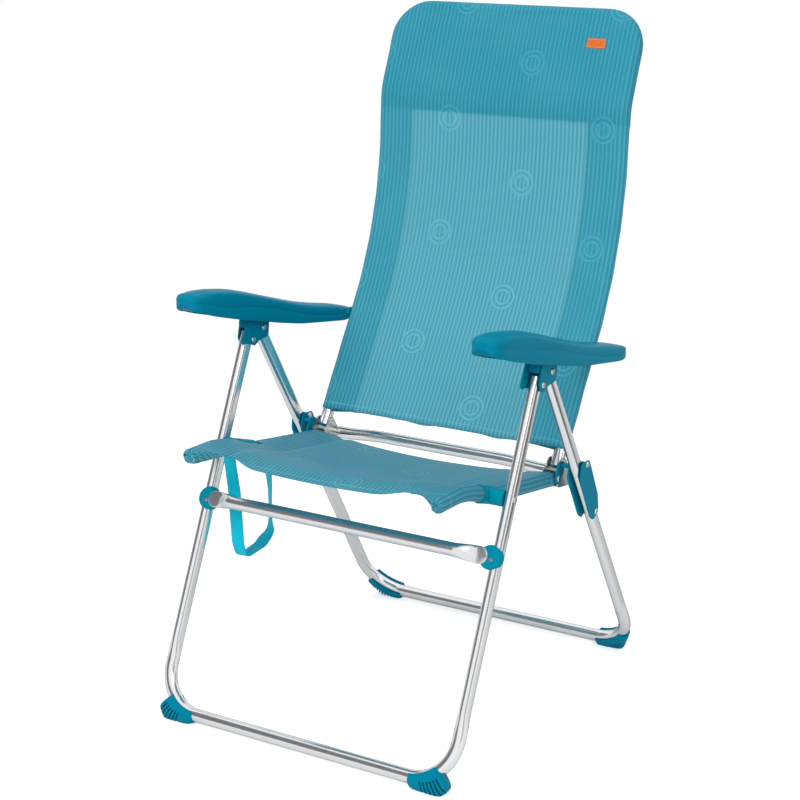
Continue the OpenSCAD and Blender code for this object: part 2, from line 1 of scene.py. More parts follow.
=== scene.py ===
"""Folding reclining beach chair: aluminium tube legs, sling seat and back, moulded armrests.

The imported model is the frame. Lengths in the tables are millimetres in the side-view drawing;
place() turns them into metres in the frame of the part.
"""

import math

import bmesh
import bpy
from mathutils import Matrix, Vector, noise


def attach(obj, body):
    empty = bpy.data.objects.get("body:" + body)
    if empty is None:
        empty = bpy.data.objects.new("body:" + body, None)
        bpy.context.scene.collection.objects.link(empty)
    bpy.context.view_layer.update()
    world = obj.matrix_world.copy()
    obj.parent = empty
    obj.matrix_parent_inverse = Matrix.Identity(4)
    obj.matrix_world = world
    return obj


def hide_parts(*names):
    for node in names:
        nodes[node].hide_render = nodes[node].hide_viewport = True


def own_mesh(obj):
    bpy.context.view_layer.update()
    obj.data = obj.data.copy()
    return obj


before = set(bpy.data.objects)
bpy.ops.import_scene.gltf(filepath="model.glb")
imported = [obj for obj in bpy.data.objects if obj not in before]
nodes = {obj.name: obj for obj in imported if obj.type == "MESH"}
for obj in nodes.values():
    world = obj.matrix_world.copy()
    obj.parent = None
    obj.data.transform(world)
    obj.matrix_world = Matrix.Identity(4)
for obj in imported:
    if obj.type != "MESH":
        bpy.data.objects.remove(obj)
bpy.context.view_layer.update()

MM = 0.001
METRE = 1000  # in millimetres, for unit directions
MID_Y = 91.13  # middle of the chair's depth in the side-view drawing
SIDES = (("left", 1), ("right", -1))

# ---- Sizes of the frame, as in the part's source ----
LEG_X, RAIL_X = 277, 232
TUBE_R, OVAL_W, OVAL_D = 11, 15.5, 25
BEND_R = 72
CLOTH_R = 12.1  # middle of the cloth where it wraps a tube
CLOTH_T = 1.1  # thickness of the sling cloth
FLOOR_BAR_Z = 15  # middle of the tubes that lie along the floor
FRONT_TILT, FRONT_FLOOR_Y = 23.9, -263.4
FRONT_C = (FRONT_FLOOR_Y + FLOOR_BAR_Z * math.tan(math.radians(FRONT_TILT)), FLOOR_BAR_Z)
LEG_PIVOT, REAR_FLOOR_Y = (34.3, 608.1), 409.4
REAR_TILT = math.degrees(math.atan2(REAR_FLOOR_Y - LEG_PIVOT[0], LEG_PIVOT[1]))
REAR_C = (REAR_FLOOR_Y - FLOOR_BAR_Z * math.tan(math.radians(REAR_TILT)), FLOOR_BAR_Z)
FRONT_LEAN, REAR_LEAN = -math.radians(FRONT_TILT), math.radians(REAR_TILT)
FRONT_TOP, REAR_TOP = 644, 700  # lengths of the legs above the floor bars
BRACE_S = 355.6  # height of the brace up the front legs
RAIL = [(220, 379, 0), (-48, 418, 40), (-128, 443.5, 150), (-160, 449.5, 120), (-231, 450.5, 0)]
BACK_FOOT = (183.71, 431.0)
BACK_WAIST, BACK_WAIST_R = (375.8, 747.6), 645
BACK_NECK, BACK_NECK_R = (383.7, 977.1), 109
BACK_TOP_Z, BACK_TOP_R = 1123, 57
TOP_TILT = 21.87
BACK_TOP_Y = BACK_NECK[0] + (BACK_TOP_Z - BACK_NECK[1]) * math.tan(math.radians(TOP_TILT))
SEAM_X = 172  # where the sleeves are sewn to the seat and the back
SEAM = SEAM_X * MM
HOOD_DEPTH = 184  # how far the head pocket reaches below the top bar


def place(x, y, z):
    return Vector((x * MM, (y - MID_Y) * MM, z * MM))


def smooth(t):
    t = min(max(t, 0.0), 1.0)
    return t * t * (3 - 2 * t)


def mix(a, b, t):
    return a + (b - a) * t


def table(pairs, at):
    """Value at a place in a table of (place, value), with straight lines between its rows."""
    if at <= pairs[0][0]:
        return pairs[0][1]
    for (a, va), (b, vb) in zip(pairs, pairs[1:]):
        if at <= b:
            return mix(va, vb, (at - a) / (b - a))
    return pairs[-1][1]


# ---- Centre lines in the side view ----
TANGENT_REACH = 4  # how far to either side the direction is taken
ARC_STEP = 3.0


class Line:
    """A centre line in the side view: straight runs joined by arcs, measured along its length."""

    def __init__(self, corners):
        points = [Vector(c[:2]) for c in corners]
        self.points = [points[0]]
        for before, at, after, (_, _, radius) in zip(points, points[1:], points[2:], corners[1:]):
            self.add_arc(before, at, after, radius)
        self.points.append(points[-1])
        self.length = [0.0]
        for a, b in zip(self.points, self.points[1:]):
            self.length.append(self.length[-1] + (b - a).length)
        self.total = self.length[-1]

    def add_arc(self, before, at, after, radius):
        u, w = (before - at).normalized(), (after - at).normalized()
        half = u.angle(w) / 2
        if radius <= 0 or math.pi / 2 - half < 0.002:
            self.points.append(at)
            return
        centre = at + (u + w).normalized() * (radius / math.sin(half))
        start = at + u * (radius / math.tan(half)) - centre
        end = at + w * (radius / math.tan(half)) - centre
        turn = start.angle_signed(end)
        count = max(4, int(abs(turn) * radius / ARC_STEP))
        a0 = math.atan2(start.y, start.x)
        for i in range(count + 1):
            a = a0 - turn * i / count
            self.points.append(centre + radius * Vector((math.cos(a), math.sin(a))))

    def at(self, s):
        """Point, direction and normal at a length along the line."""
        s = min(max(s, 0.0), self.total)
        ahead = self.spot(s + TANGENT_REACH) - self.spot(s - TANGENT_REACH)
        ahead.normalize()
        return self.spot(s), ahead, Vector((-ahead.y, ahead.x))

    def spot(self, s):
        """Point at a length along the line, held to its ends."""
        s = min(max(s, 0.0), self.total)
        i = 0
        while i < len(self.length) - 2 and self.length[i + 1] < s:
            i += 1
        t = (s - self.length[i]) / max(self.length[i + 1] - self.length[i], 1e-9)
        return self.points[i].lerp(self.points[i + 1], t)

    def at_y(self, y):
        """Length at which the line passes a depth."""
        for i, (a, b) in enumerate(zip(self.points, self.points[1:])):
            if min(a.x, b.x) <= y <= max(a.x, b.x) and a.x != b.x:
                return self.length[i] + (b - a).length * (y - a.x) / (b.x - a.x)
        return 0.0 if abs(y - self.points[0].x) < abs(y - self.points[-1].x) else self.total


def offset(line, s, x, n):
    """Point at a length along a centre line, x across the chair and n along the line's normal."""
    point, _, normal = line.at(s)
    return place(x, point.x + n * normal.x, point.y + n * normal.y)


# ---- Mesh building ----
WELD = 2e-5  # points closer than this, in metres, become one
RING = 40  # facets round a tube
FACET = 0.0017  # width of a tube's facet in its finish
BORE = 0.84  # a tube's bore over its outside, at an open end


class Skin:
    """Gathers grids of points with cloth coordinates in metres, and welds them into one mesh."""

    def __init__(self):
        self.faces = []

    def grid(self, rows, marks=None, closed=False, keep=None, flip=False):
        count = len(rows[0])
        for i in range(len(rows) - 1):
            for j in range(count if closed else count - 1):
                k = (j + 1) % count
                spots = [(i, j), (i, k), (i + 1, k), (i + 1, j)]
                if keep and not keep(i, j):
                    continue
                points = [rows[a][b] for a, b in spots]
                uv = [marks[a][b] for a, b in spots] if marks else [(0, 0)] * 4
                if flip:
                    points.reverse()
                    uv.reverse()
                self.faces.append((points, uv))

    def cap(self, points):
        self.faces.append((list(points), [(p.x, p.y) for p in points]))

    def solid(self, rows, marks=None):
        """Closed rings with both ends filled."""
        self.grid(rows, marks, closed=True)
        self.cap(rows[0])
        self.cap(rows[-1])

    def build(self, name, shade, outward=True):
        """One object; edges sharper than shade degrees stay sharp, and 0 keeps none."""
        bm = bmesh.new()
        layer = bm.loops.layers.uv.new("cloth")
        known = {}
        for points, uv in self.faces:
            corners = []
            for p in points:
                key = (round(p.x / WELD), round(p.y / WELD), round(p.z / WELD))
                if key not in known:
                    known[key] = bm.verts.new(p)
                corners.append(known[key])
            kept = [c for n, c in enumerate(corners) if c is not corners[n - 1]]
            if len(kept) < 3 or len(set(kept)) < len(kept):
                continue
            marks = [uv[n] for n, c in enumerate(corners) if c is not corners[n - 1]]
            try:
                face = bm.faces.new(kept)
            except ValueError:
                continue
            for loop, mark in zip(face.loops, marks):
                loop[layer].uv = mark
        if outward:
            bmesh.ops.recalc_face_normals(bm, faces=bm.faces)
        mesh = bpy.data.meshes.new(name)
        bm.to_mesh(mesh)
        bm.free()
        mesh.shade_smooth()
        if shade:
            mesh.set_sharp_from_angle(angle=math.radians(shade))
        made = bpy.data.objects.new(name, mesh)
        bpy.context.scene.collection.objects.link(made)
        return made


def round_edges(piece, width):
    bevel = piece.modifiers.new("rounded edges", "BEVEL")
    bevel.width = width * MM
    bevel.segments = 3
    bevel.limit_method = "ANGLE"
    bevel.angle_limit = math.radians(35)
    bevel.harden_normals = True


def thicken(piece, thickness, share):
    """Give cloth its thickness: share 0 sets it to both sides, -1 to the inner one."""
    cloth = piece.modifiers.new("cloth", "SOLIDIFY")
    cloth.thickness, cloth.offset = thickness * MM, share
    return piece


def finish_piece(piece, body, material, slot, *replaced):
    piece.data.materials.append(material)
    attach(piece, body)
    if replaced:
        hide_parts(*replaced)
    return piece


def tube_ring(centre, side, normal, width, depth):
    """Ring of a tube: a circle, or a flattened oval with round ends when depth is over width."""
    ring = []
    for i in range(RING):
        a = 2 * math.pi * i / RING
        c, s = math.cos(a), math.sin(a)
        spread = (depth - width) / 2
        b = width / 2 * s + (spread if s > 0.02 else -spread if s < -0.02 else 0)
        ring.append(centre + side * (width / 2 * c) + normal * b)
    return ring


# ---- Pitches of the finishes, in metres ----
GRAIN_SCALE = 1500.0  # pits in a metre of moulded plastic
EDGE_WEAR = 0.0012
RIB_PITCH, KNOT_PITCH = 0.0077, 0.0042
RING_PITCH, RING_CELL = 0.0085, (0.150, 0.205)
STITCH = 0.0045
WEB_CORD, WEB_ROW = 0.0016, 0.0019
TAG_THREAD = 0.0009
TAG_W, TAG_H, TAG_T = 35, 17, 0.7  # the label, in millimetres


# ---- Shader node groups, shared by several finishes ----
def new_group(name, ins, outs):
    group = bpy.data.node_groups.new(name, "ShaderNodeTree")
    for label, kind, value in ins:
        made = group.interface.new_socket(label, in_out="INPUT", socket_type=kind)
        if value is not None:
            made.default_value = value
    for label, kind in outs:
        group.interface.new_socket(label, in_out="OUTPUT", socket_type=kind)
    source = group.nodes.new("NodeGroupInput")
    target = group.nodes.new("NodeGroupOutput")
    return group, source, target


class Wires:
    """Short hands for laying nodes in one tree."""

    def __init__(self, tree):
        self.tree = tree

    def node(self, kind, **settings):
        made = self.tree.nodes.new(kind)
        for key, value in settings.items():
            setattr(made, key, value)
        return made

    def put(self, socket, value):
        if isinstance(value, bpy.types.NodeSocket):
            self.tree.links.new(value, socket)
        else:
            socket.default_value = value

    def math(self, operation, a, b=0.0, clamp=False):
        made = self.node("ShaderNodeMath", operation=operation, use_clamp=clamp)
        self.put(made.inputs[0], a)
        self.put(made.inputs[1], b)
        return made.outputs[0]

    def times(self, a, b, clamp=False):
        return self.math("MULTIPLY", a, b, clamp)

    def plus(self, a, b, clamp=False):
        return self.math("ADD", a, b, clamp)

    def minus(self, a, b):
        return self.math("SUBTRACT", a, b)

    def apart(self, a, b):
        return self.math("ABSOLUTE", self.minus(a, b))

    def turns(self, place, pitch):
        return self.math("DIVIDE", place, pitch)

    def from_middle(self, turns):
        """Distance from the middle of each turn: 0 there and 0.5 where two turns meet."""
        return self.apart(self.math("FRACT", turns), 0.5)

    def ramp(self, value, low, high, to_low=0.0, to_high=1.0):
        made = self.node("ShaderNodeMapRange", interpolation_type="SMOOTHSTEP")
        for socket, given in zip(made.inputs, (value, low, high, to_low, to_high)):
            self.put(socket, given)
        return made.outputs[0]

    def blend(self, factor, a, b, kind="MIX"):
        made = self.node("ShaderNodeMix", data_type="RGBA", blend_type=kind)
        self.put(made.inputs[0], factor)
        self.put(made.inputs[6], a)
        self.put(made.inputs[7], b)
        return made.outputs[2]

    def tint(self, a, b):
        return self.blend(1.0, a, b, "MULTIPLY")

    def grey(self, value):
        made = self.node("ShaderNodeCombineColor")
        for socket in made.inputs:
            self.put(socket, value)
        return made.outputs[0]

    def parts(self, vector):
        made = self.node("ShaderNodeSeparateXYZ")
        self.put(made.inputs[0], vector)
        return made.outputs

    def cloth_place(self):
        """Place on the cloth in metres: across it, then along it."""
        return self.node("ShaderNodeUVMap", uv_map="cloth").outputs[0]

    def noise(self, vector, scale, detail=2.0, roughness=0.5):
        made = self.node("ShaderNodeTexNoise")
        self.put(made.inputs["Vector"], vector)
        self.put(made.inputs["Scale"], scale)
        self.put(made.inputs["Detail"], detail)
        self.put(made.inputs["Roughness"], roughness)
        return made.outputs[0]

    def stretch(self, vector, by):
        made = self.node("ShaderNodeVectorMath", operation="MULTIPLY")
        self.put(made.inputs[0], vector)
        self.put(made.inputs[1], by)
        return made.outputs[0]

    def group(self, tree, **values):
        made = self.node("ShaderNodeGroup", node_tree=tree)
        for key, value in values.items():
            self.put(made.inputs[key.replace("_", " ")], value)
        return made


def make_drawn_metal():
    """Fine lines left along a drawn tube, with dust and rubbed patches."""
    group, source, target = new_group(
        "drawn_metal",
        [("Place", "NodeSocketVector", None), ("Base", "NodeSocketColor", (0.8, 0.8, 0.8, 1)),
         ("Lines", "NodeSocketFloat", 0.5), ("Shine", "NodeSocketFloat", 0.2)],
        [("Color", "NodeSocketColor"), ("Roughness", "NodeSocketFloat"),
         ("Height", "NodeSocketFloat")],
    )
    w = Wires(group)
    spot, lines = source.outputs["Place"], source.outputs["Lines"]
    fine = w.noise(w.stretch(spot, (900, 900, 9)), 1.0, 2.0)
    patches = w.noise(spot, 14.0, 3.0)
    rubbed = w.noise(spot, 55.0, 4.0, 0.62)
    dull = w.times(lines, w.minus(fine, 0.5))
    tone = w.plus(0.965, w.times(dull, 0.16))
    tone = w.plus(tone, w.times(w.minus(patches, 0.5), 0.07))
    w.put(target.inputs["Color"], w.tint(source.outputs["Base"], w.grey(tone)))
    rough = w.plus(source.outputs["Shine"], w.times(w.minus(rubbed, 0.45), 0.16))
    w.put(target.inputs["Roughness"], w.plus(rough, w.times(dull, 0.12), clamp=True))
    w.put(target.inputs["Height"], w.times(fine, lines))
    return group


def make_moulded_grain():
    """Spark-eroded grain of moulded plastic, with flow marks, scuffs and paler worn edges."""
    group, source, target = new_group(
        "moulded_grain",
        [("Place", "NodeSocketVector", None), ("Base", "NodeSocketColor", (0.0, 0.2, 0.3, 1)),
         ("Worn", "NodeSocketColor", (0.2, 0.5, 0.6, 1)), ("Grain", "NodeSocketFloat", 1.0)],
        [("Color", "NodeSocketColor"), ("Roughness", "NodeSocketFloat"),
         ("Height", "NodeSocketFloat")],
    )
    w = Wires(group)
    spot = source.outputs["Place"]
    pits = w.node("ShaderNodeTexVoronoi")
    w.put(pits.inputs["Vector"], spot)
    w.put(pits.inputs["Scale"], GRAIN_SCALE)
    flow = w.noise(w.stretch(spot, (9, 5, 9)), 1.0, 3.0)
    scuff = w.noise(w.stretch(spot, (240, 60, 240)), 1.0, 5.0, 0.7)
    # An edge is where the normal averaged over a small round turns from the face's own
    edge = w.node("ShaderNodeBevel", samples=4)
    edge.inputs["Radius"].default_value = EDGE_WEAR
    face = w.node("ShaderNodeNewGeometry")
    turned = w.node("ShaderNodeVectorMath", operation="DOT_PRODUCT")
    w.put(turned.inputs[0], edge.outputs[0])
    w.put(turned.inputs[1], face.outputs["Normal"])
    rim = w.ramp(turned.outputs["Value"], 0.93, 0.70)
    wear = w.times(rim, w.ramp(scuff, 0.5, 0.7), clamp=True)
    shade = w.plus(0.93, w.times(flow, 0.14))
    body = w.tint(source.outputs["Base"], w.grey(shade))
    w.put(target.inputs["Color"], w.blend(w.times(wear, 0.3), body, source.outputs["Worn"]))
    rough = w.plus(0.36, w.times(w.ramp(scuff, 0.55, 0.8), 0.16))
    w.put(target.inputs["Roughness"], w.plus(rough, w.times(wear, 0.1), clamp=True))
    w.put(target.inputs["Height"], w.times(pits.outputs["Distance"], source.outputs["Grain"]))
    return group


def make_sling_weave():
    """Ribbed vinyl mesh: pale ribs along the cloth, staggered dots between them, tonal rings."""
    group, source, target = new_group(
        "sling_weave",
        [("Cloth", "NodeSocketVector", None), ("Pitch", "NodeSocketFloat", RIB_PITCH),
         ("Deep", "NodeSocketColor", (0.02, 0.22, 0.30, 1)),
         ("Rib", "NodeSocketColor", (0.16, 0.50, 0.60, 1)),
         ("Thread", "NodeSocketColor", (0.25, 0.62, 0.70, 1)), ("Rings", "NodeSocketFloat", 1.0)],
        [("Color", "NodeSocketColor"), ("Height", "NodeSocketFloat"),
         ("Rib Mask", "NodeSocketFloat")],
    )
    w = Wires(group)
    cloth, thread = source.outputs["Cloth"], source.outputs["Thread"]
    u, v, _ = w.parts(cloth)
    wobble = w.times(w.minus(w.noise(cloth, 30.0, 3.0), 0.5), 0.0016)
    columns = w.turns(w.plus(u, wobble), source.outputs["Pitch"])
    rib = w.ramp(w.from_middle(columns), 0.27, 0.13)
    # Every second column is half a knot further along
    odd = w.math("FRACT", w.times(w.math("FLOOR", columns), 0.5))
    steps = w.plus(w.turns(v, KNOT_PITCH), odd)
    knot = w.ramp(w.from_middle(steps), 0.34, 0.12)
    gap = w.ramp(w.from_middle(w.plus(steps, 0.5)), 0.30, 0.10)
    # Tonal rings in a half-drop layout
    cell_u, cell_v = RING_CELL
    line_up = w.turns(w.plus(u, 0.022), cell_u)
    drop = w.times(w.math("FRACT", w.times(w.math("FLOOR", line_up), 0.5)), cell_v)
    du = w.times(w.minus(w.math("FRACT", line_up), 0.5), cell_u)
    rows = w.turns(w.plus(v, w.plus(drop, 0.06)), cell_v)
    dv = w.times(w.minus(w.math("FRACT", rows), 0.5), cell_v)
    distance = w.math("SQRT", w.plus(w.times(du, du), w.times(dv, dv)))
    ring = w.ramp(w.from_middle(w.turns(distance, RING_PITCH)), 0.30, 0.16)
    outer, inner = 3 * RING_PITCH, RING_PITCH
    near = w.times(w.ramp(distance, outer, outer - 0.0005), w.ramp(distance, inner, inner + 0.0005))
    motif = w.times(w.times(ring, near), source.outputs["Rings"])
    outside = w.minus(1.0, w.times(near, w.times(source.outputs["Rings"], 0.55)))
    raised = w.times(w.times(rib, w.plus(0.42, w.times(knot, 0.58))), outside)
    raised = w.math("MAXIMUM", raised, w.times(motif, 0.68))
    dots = w.times(w.minus(1.0, rib), gap)
    color = w.blend(raised, source.outputs["Deep"], source.outputs["Rib"])
    color = w.blend(w.times(dots, 0.36), color, thread)
    color = w.blend(w.times(w.times(rib, knot), 0.34), color, thread)
    w.put(target.inputs["Color"], color)
    w.put(target.inputs["Height"], w.plus(raised, w.times(dots, 0.35)))
    w.put(target.inputs["Rib Mask"], raised)
    return group


drawn_metal = make_drawn_metal()
moulded_grain = make_moulded_grain()
sling_weave = make_sling_weave()


# ---- Finishes ----
def new_finish(name):
    made = bpy.data.materials.new(name)
    made.use_nodes = True
    made.node_tree.nodes.clear()
    w = Wires(made.node_tree)
    shader = w.node("ShaderNodeBsdfPrincipled")
    out = w.node("ShaderNodeOutputMaterial")
    w.put(out.inputs["Surface"], shader.outputs[0])
    return made, w, shader


def bump(w, shader, height, strength, distance):
    made = w.node("ShaderNodeBump")
    made.inputs["Strength"].default_value = strength
    made.inputs["Distance"].default_value = distance
    w.put(made.inputs["Height"], height)
    w.put(shader.inputs["Normal"], made.outputs[0])


def metal_finish(name, base, shine, lines, own_tube=True):
    """Drawn metal: on a tube made here its lines follow the tube, elsewhere the part's height."""
    made, w, shader = new_finish(name)
    spot = w.node("ShaderNodeTexCoord")
    group = w.group(drawn_metal, Base=base, Lines=lines, Shine=shine)
    place_on = spot.outputs["Object"]
    if own_tube:
        round_it, along, _ = w.parts(w.stretch(spot.outputs["UV"], (1, 1, 0)))
        join = w.node("ShaderNodeCombineXYZ")
        w.put(join.inputs[0], round_it)
        w.put(join.inputs[2], along)
        place_on = join.outputs[0]
    w.put(group.inputs["Place"], place_on)
    w.put(shader.inputs["Base Color"], group.outputs["Color"])
    w.put(shader.inputs["Roughness"], group.outputs["Roughness"])
    shader.inputs["Metallic"].default_value = 1.0
    shader.inputs["Specular Tint"].default_value = (0.42, 0.43, 0.45, 1)
    bump(w, shader, group.outputs["Height"], 0.12, 0.0002)
    return made


def plastic_finish(name, base, worn):
    made, w, shader = new_finish(name)
    spot = w.node("ShaderNodeTexCoord")
    group = w.group(moulded_grain, Base=base, Worn=worn, Grain=1.0)
    w.put(group.inputs["Place"], spot.outputs["Object"])
    w.put(shader.inputs["Base Color"], group.outputs["Color"])
    w.put(shader.inputs["Roughness"], group.outputs["Roughness"])
    shader.inputs["Specular IOR Level"].default_value = 0.03
    bump(w, shader, group.outputs["Height"], 0.25, 0.0003)
    return made


def stitches(w, along):
    """Dashes of a machine seam."""
    return w.ramp(w.from_middle(w.turns(along, STITCH)), 0.42, 0.30)


def sling_finish(name, hood_from, seam, dark_band, hems, tone=(1, 1, 1, 1)):
    """Woven sling cloth, double past hood_from along the cloth and beyond the seams. Its tone
    multiplies the colour as painted shade: a darker copy of the same cloth for a part that the
    lamps light more.
    """
    made, w, shader = new_finish(name)
    cloth = w.cloth_place()
    group = w.group(
        sling_weave, Pitch=RIB_PITCH, Deep=(0.040, 0.275, 0.370, 1),
        Rib=(0.150, 0.500, 0.610, 1), Thread=(0.260, 0.640, 0.730, 1),
    )
    w.put(group.inputs["Cloth"], cloth)
    across, v, _ = w.parts(cloth)
    u = w.math("ABSOLUTE", across)
    # tone is painted shade: a tint that darkens this copy of the cloth in place of the light doing
    # it
    color = w.tint(group.outputs["Color"], tone)
    double = w.ramp(u, seam - 0.001, seam + 0.001)
    line = w.ramp(w.apart(u, seam), 0.0016, 0.0006)
    if hood_from:
        head = w.ramp(v, hood_from - 0.001, hood_from + 0.001)
        below = w.minus(1.0, head)
        double, line = w.times(double, below), w.times(line, below)
        color = w.blend(head, color, w.tint(color, (0.34, 0.74, 0.80, 1)))
    color = w.blend(w.times(double, dark_band), color, w.tint(color, (0.42, 0.80, 0.86, 1)))
    # Seam lines and hem stitching
    stitch = w.times(line, stitches(w, v))
    for low in hems:
        hem = w.ramp(w.apart(v, low), 0.0013, 0.0005)
        stitch = w.math("MAXIMUM", stitch, w.times(hem, stitches(w, across)))
    color = w.blend(w.times(line, 0.35), color, (0.012, 0.16, 0.22, 1))
    color = w.blend(w.times(stitch, 0.5), color, (0.20, 0.56, 0.66, 1))
    worn = w.noise(cloth, 9.0, 4.0)
    color = w.blend(w.ramp(worn, 0.42, 0.7, 0.0, 0.10), color, (0.12, 0.42, 0.52, 1))
    w.put(shader.inputs["Base Color"], color)
    w.put(shader.inputs["Roughness"], w.plus(0.56, w.times(group.outputs["Rib Mask"], -0.12)))
    shader.inputs["Specular IOR Level"].default_value = 0.12
    shader.inputs["Sheen Weight"].default_value = 0.03
    shader.inputs["Sheen Roughness"].default_value = 0.4
    bump(w, shader, w.minus(group.outputs["Height"], w.times(line, 0.8)), 0.55, 0.0006)
    return made


def webbing_finish():
    made, w, shader = new_finish("cyan_webbing")
    cloth = w.cloth_place()
    u, v, _ = w.parts(cloth)
    cord = w.from_middle(w.turns(u, WEB_CORD))
    tooth = w.from_middle(w.plus(w.turns(v, WEB_ROW), cord))
    weave = w.times(w.ramp(cord, 0.45, 0.1), w.ramp(tooth, 0.45, 0.1))
    rim = w.ramp(w.math("ABSOLUTE", u), 0.0098, 0.0108)
    color = w.blend(weave, (0.0, 0.50, 0.68, 1), (0.0, 0.70, 0.90, 1))
    color = w.blend(w.times(rim, 0.3), color, (0.0, 0.25, 0.40, 1))
    dust = w.noise(cloth, 60.0, 4.0)
    color = w.blend(w.ramp(dust, 0.5, 0.8, 0.0, 0.15), color, (0.1, 0.62, 0.76, 1))
    w.put(shader.inputs["Base Color"], color)
    w.put(shader.inputs["Roughness"], w.plus(0.45, w.times(dust, 0.2)))
    shader.inputs["Specular IOR Level"].default_value = 0.15
    bump(w, shader, weave, 0.5, 0.0003)
    return made


def tag_finish():
    made, w, shader = new_finish("orange_label_cloth")
    u, v, _ = w.parts(w.cloth_place())
    warp, weft = (w.from_middle(w.turns(way, TAG_THREAD)) for way in (u, v))
    weave = w.times(w.ramp(warp, 0.48, 0.1), w.ramp(weft, 0.48, 0.1))
    color = w.blend(weave, (0.62, 0.115, 0.012, 1), (0.86, 0.19, 0.025, 1))
    # Stitches a little inside the edge
    edge_u = w.minus(TAG_W / 2 * MM, w.math("ABSOLUTE", u))
    edge_v = w.minus(TAG_H / 2 * MM, w.math("ABSOLUTE", v))
    line = w.ramp(w.apart(w.math("MINIMUM", edge_u, edge_v), 0.0018), 0.0006, 0.0002)
    line = w.times(line, w.ramp(w.from_middle(w.turns(w.plus(u, v), 0.0030)), 0.4, 0.3))
    color = w.blend(w.times(line, 0.7), color, (0.95, 0.45, 0.20, 1))
    w.put(shader.inputs["Base Color"], color)
    w.put(shader.inputs["Roughness"], w.plus(0.42, w.times(weave, 0.16)))
    bump(w, shader, w.plus(weave, line), 0.4, 0.0002)
    return made


POLISH = (0.87, 0.875, 0.88, 1)
polished = metal_finish("polished_aluminium", POLISH, 0.17, 0.6)
polished_cad = metal_finish("polished_aluminium_frame", POLISH, 0.17, 0.4, own_tube=False)
brushed = metal_finish("brushed_aluminium", (0.80, 0.81, 0.83, 1), 0.23, 0.25)
zinc = metal_finish("zinc_plated_steel", (0.62, 0.62, 0.60, 1), 0.32, 0.3, own_tube=False)
teal = plastic_finish("teal_moulded_plastic", (0.0, 0.215, 0.335, 1), (0.03, 0.28, 0.38, 1))
bright_teal = plastic_finish("teal_moulded_clip", (0.0, 0.250, 0.360, 1), (0.05, 0.36, 0.46, 1))
webbing = webbing_finish()
label_cloth = tag_finish()

# ---- Camera ----
EYE = Vector((1.5935, -2.63533, 1.3767))
AZIMUTH, ELEVATION, ROLL = map(math.radians, (31.57, 15.81, 0.11))
away = Vector((
    math.sin(AZIMUTH) * math.cos(ELEVATION), -math.cos(AZIMUTH) * math.cos(ELEVATION),
    math.sin(ELEVATION),
))
level = (-away).cross(Vector((0, 0, 1))).normalized()
upright = level.cross(-away)
right = level * math.cos(ROLL) + upright * math.sin(ROLL)
up = upright * math.cos(ROLL) - level * math.sin(ROLL)
lens = bpy.data.cameras.new("view")
lens.sensor_width, lens.lens = 36, 85.72
lens.clip_end = 60
camera = bpy.data.objects.new("view", lens)
camera.matrix_world = Matrix.Translation(EYE) @ Matrix((right, up, away)).transposed().to_4x4()
bpy.context.scene.collection.objects.link(camera)
bpy.context.scene.camera = camera
bpy.context.scene.view_settings.view_transform = "Standard"


# ---- Leg frames ----
def leg_point(centre, tilt, x, n, s):
    """Point in a leg frame's own plane: n behind it (negative is in front), s up along the legs."""
    c, d = math.cos(tilt), math.sin(tilt)
    return place(x, centre[0] + n * c - s * d, centre[1] + n * d + s * c)


def leg_frame(name, centre, tilt, top):
    """U-shaped tube: round along the floor and in the bends, pressed oval up the legs."""
    flat_from, flat_to = BEND_R + 10, BEND_R + 46
    stations = []
    lift = [top - 16 * i for i in range(int((top - flat_to) / 16) + 1)]
    lift += [mix(flat_to, flat_from, i / 10) for i in range(11)] + [BEND_R]
    for s in lift:
        stations.append((LEG_X, s, Vector((1, 0)), smooth((s - flat_from) / (flat_to - flat_from))))
    reach = LEG_X - BEND_R
    for i in range(1, 19):
        a = math.pi / 2 * i / 18
        out = Vector((math.cos(a), -math.sin(a)))
        stations.append((reach + BEND_R * out.x, BEND_R + BEND_R * out.y, out, 0.0))
    bar = [(reach - 2 * reach * i / 24, 0, Vector((0, -1)), 0.0) for i in range(1, 24)]
    mirrored = [(-x, s, Vector((-o.x, o.y)), t) for x, s, o, t in reversed(stations)]
    rows, marks, run, last = [], [], 0.0, None
    for x, s, out, t in stations + bar + mirrored:
        mid = leg_point(centre, tilt, x, 0, s)
        side = leg_point(centre, tilt, x + out.x * METRE, 0, s + out.y * METRE) - mid
        normal = leg_point(centre, tilt, x, METRE, s) - mid
        width, depth = mix(2 * TUBE_R, OVAL_W, t) * MM, mix(2 * TUBE_R, OVAL_D, t) * MM
        ring = tube_ring(mid, side, normal, width, depth)
        run += (mid - last).length if last else 0
        last = mid
        rows.append(ring)
        marks.append([(FACET * j, run) for j in range(RING)])
    skin = Skin()
    skin.grid(rows, marks, closed=True)
    for ring, further in ((rows[0], rows[2]), (rows[-1], rows[-3])):
        middle = sum(ring, Vector()) / RING
        inner = [middle + (p - middle) * BORE for p in ring]
        deep = [p + (further[0] - ring[0]) * 0.5 for p in inner]
        skin.grid([ring, inner, deep], closed=True)
        skin.cap(deep)
    return skin.build(name, shade=50)


front_tube = leg_frame("front_leg_tube", FRONT_C, FRONT_LEAN, FRONT_TOP)
rear_tube = leg_frame("rear_leg_tube", REAR_C, REAR_LEAN, REAR_TOP)
finish_piece(front_tube, "front_legs", polished, "aluminium", "front_leg_frame")
finish_piece(rear_tube, "rear_legs", polished, "aluminium", "rear_leg_frame")


# ---- Front brace: a round tube whose ends are pressed flat and fanned out ----
def front_point(x, n, s):
    return leg_point(FRONT_C, FRONT_LEAN, x, n, s)


# Front and rear faces as n in the front legs' plane: of the round part, and of the pressed plate
BRACE_FACES, PLATE_FACES = (-35.1, -13.1), (-18.9, -15.7)


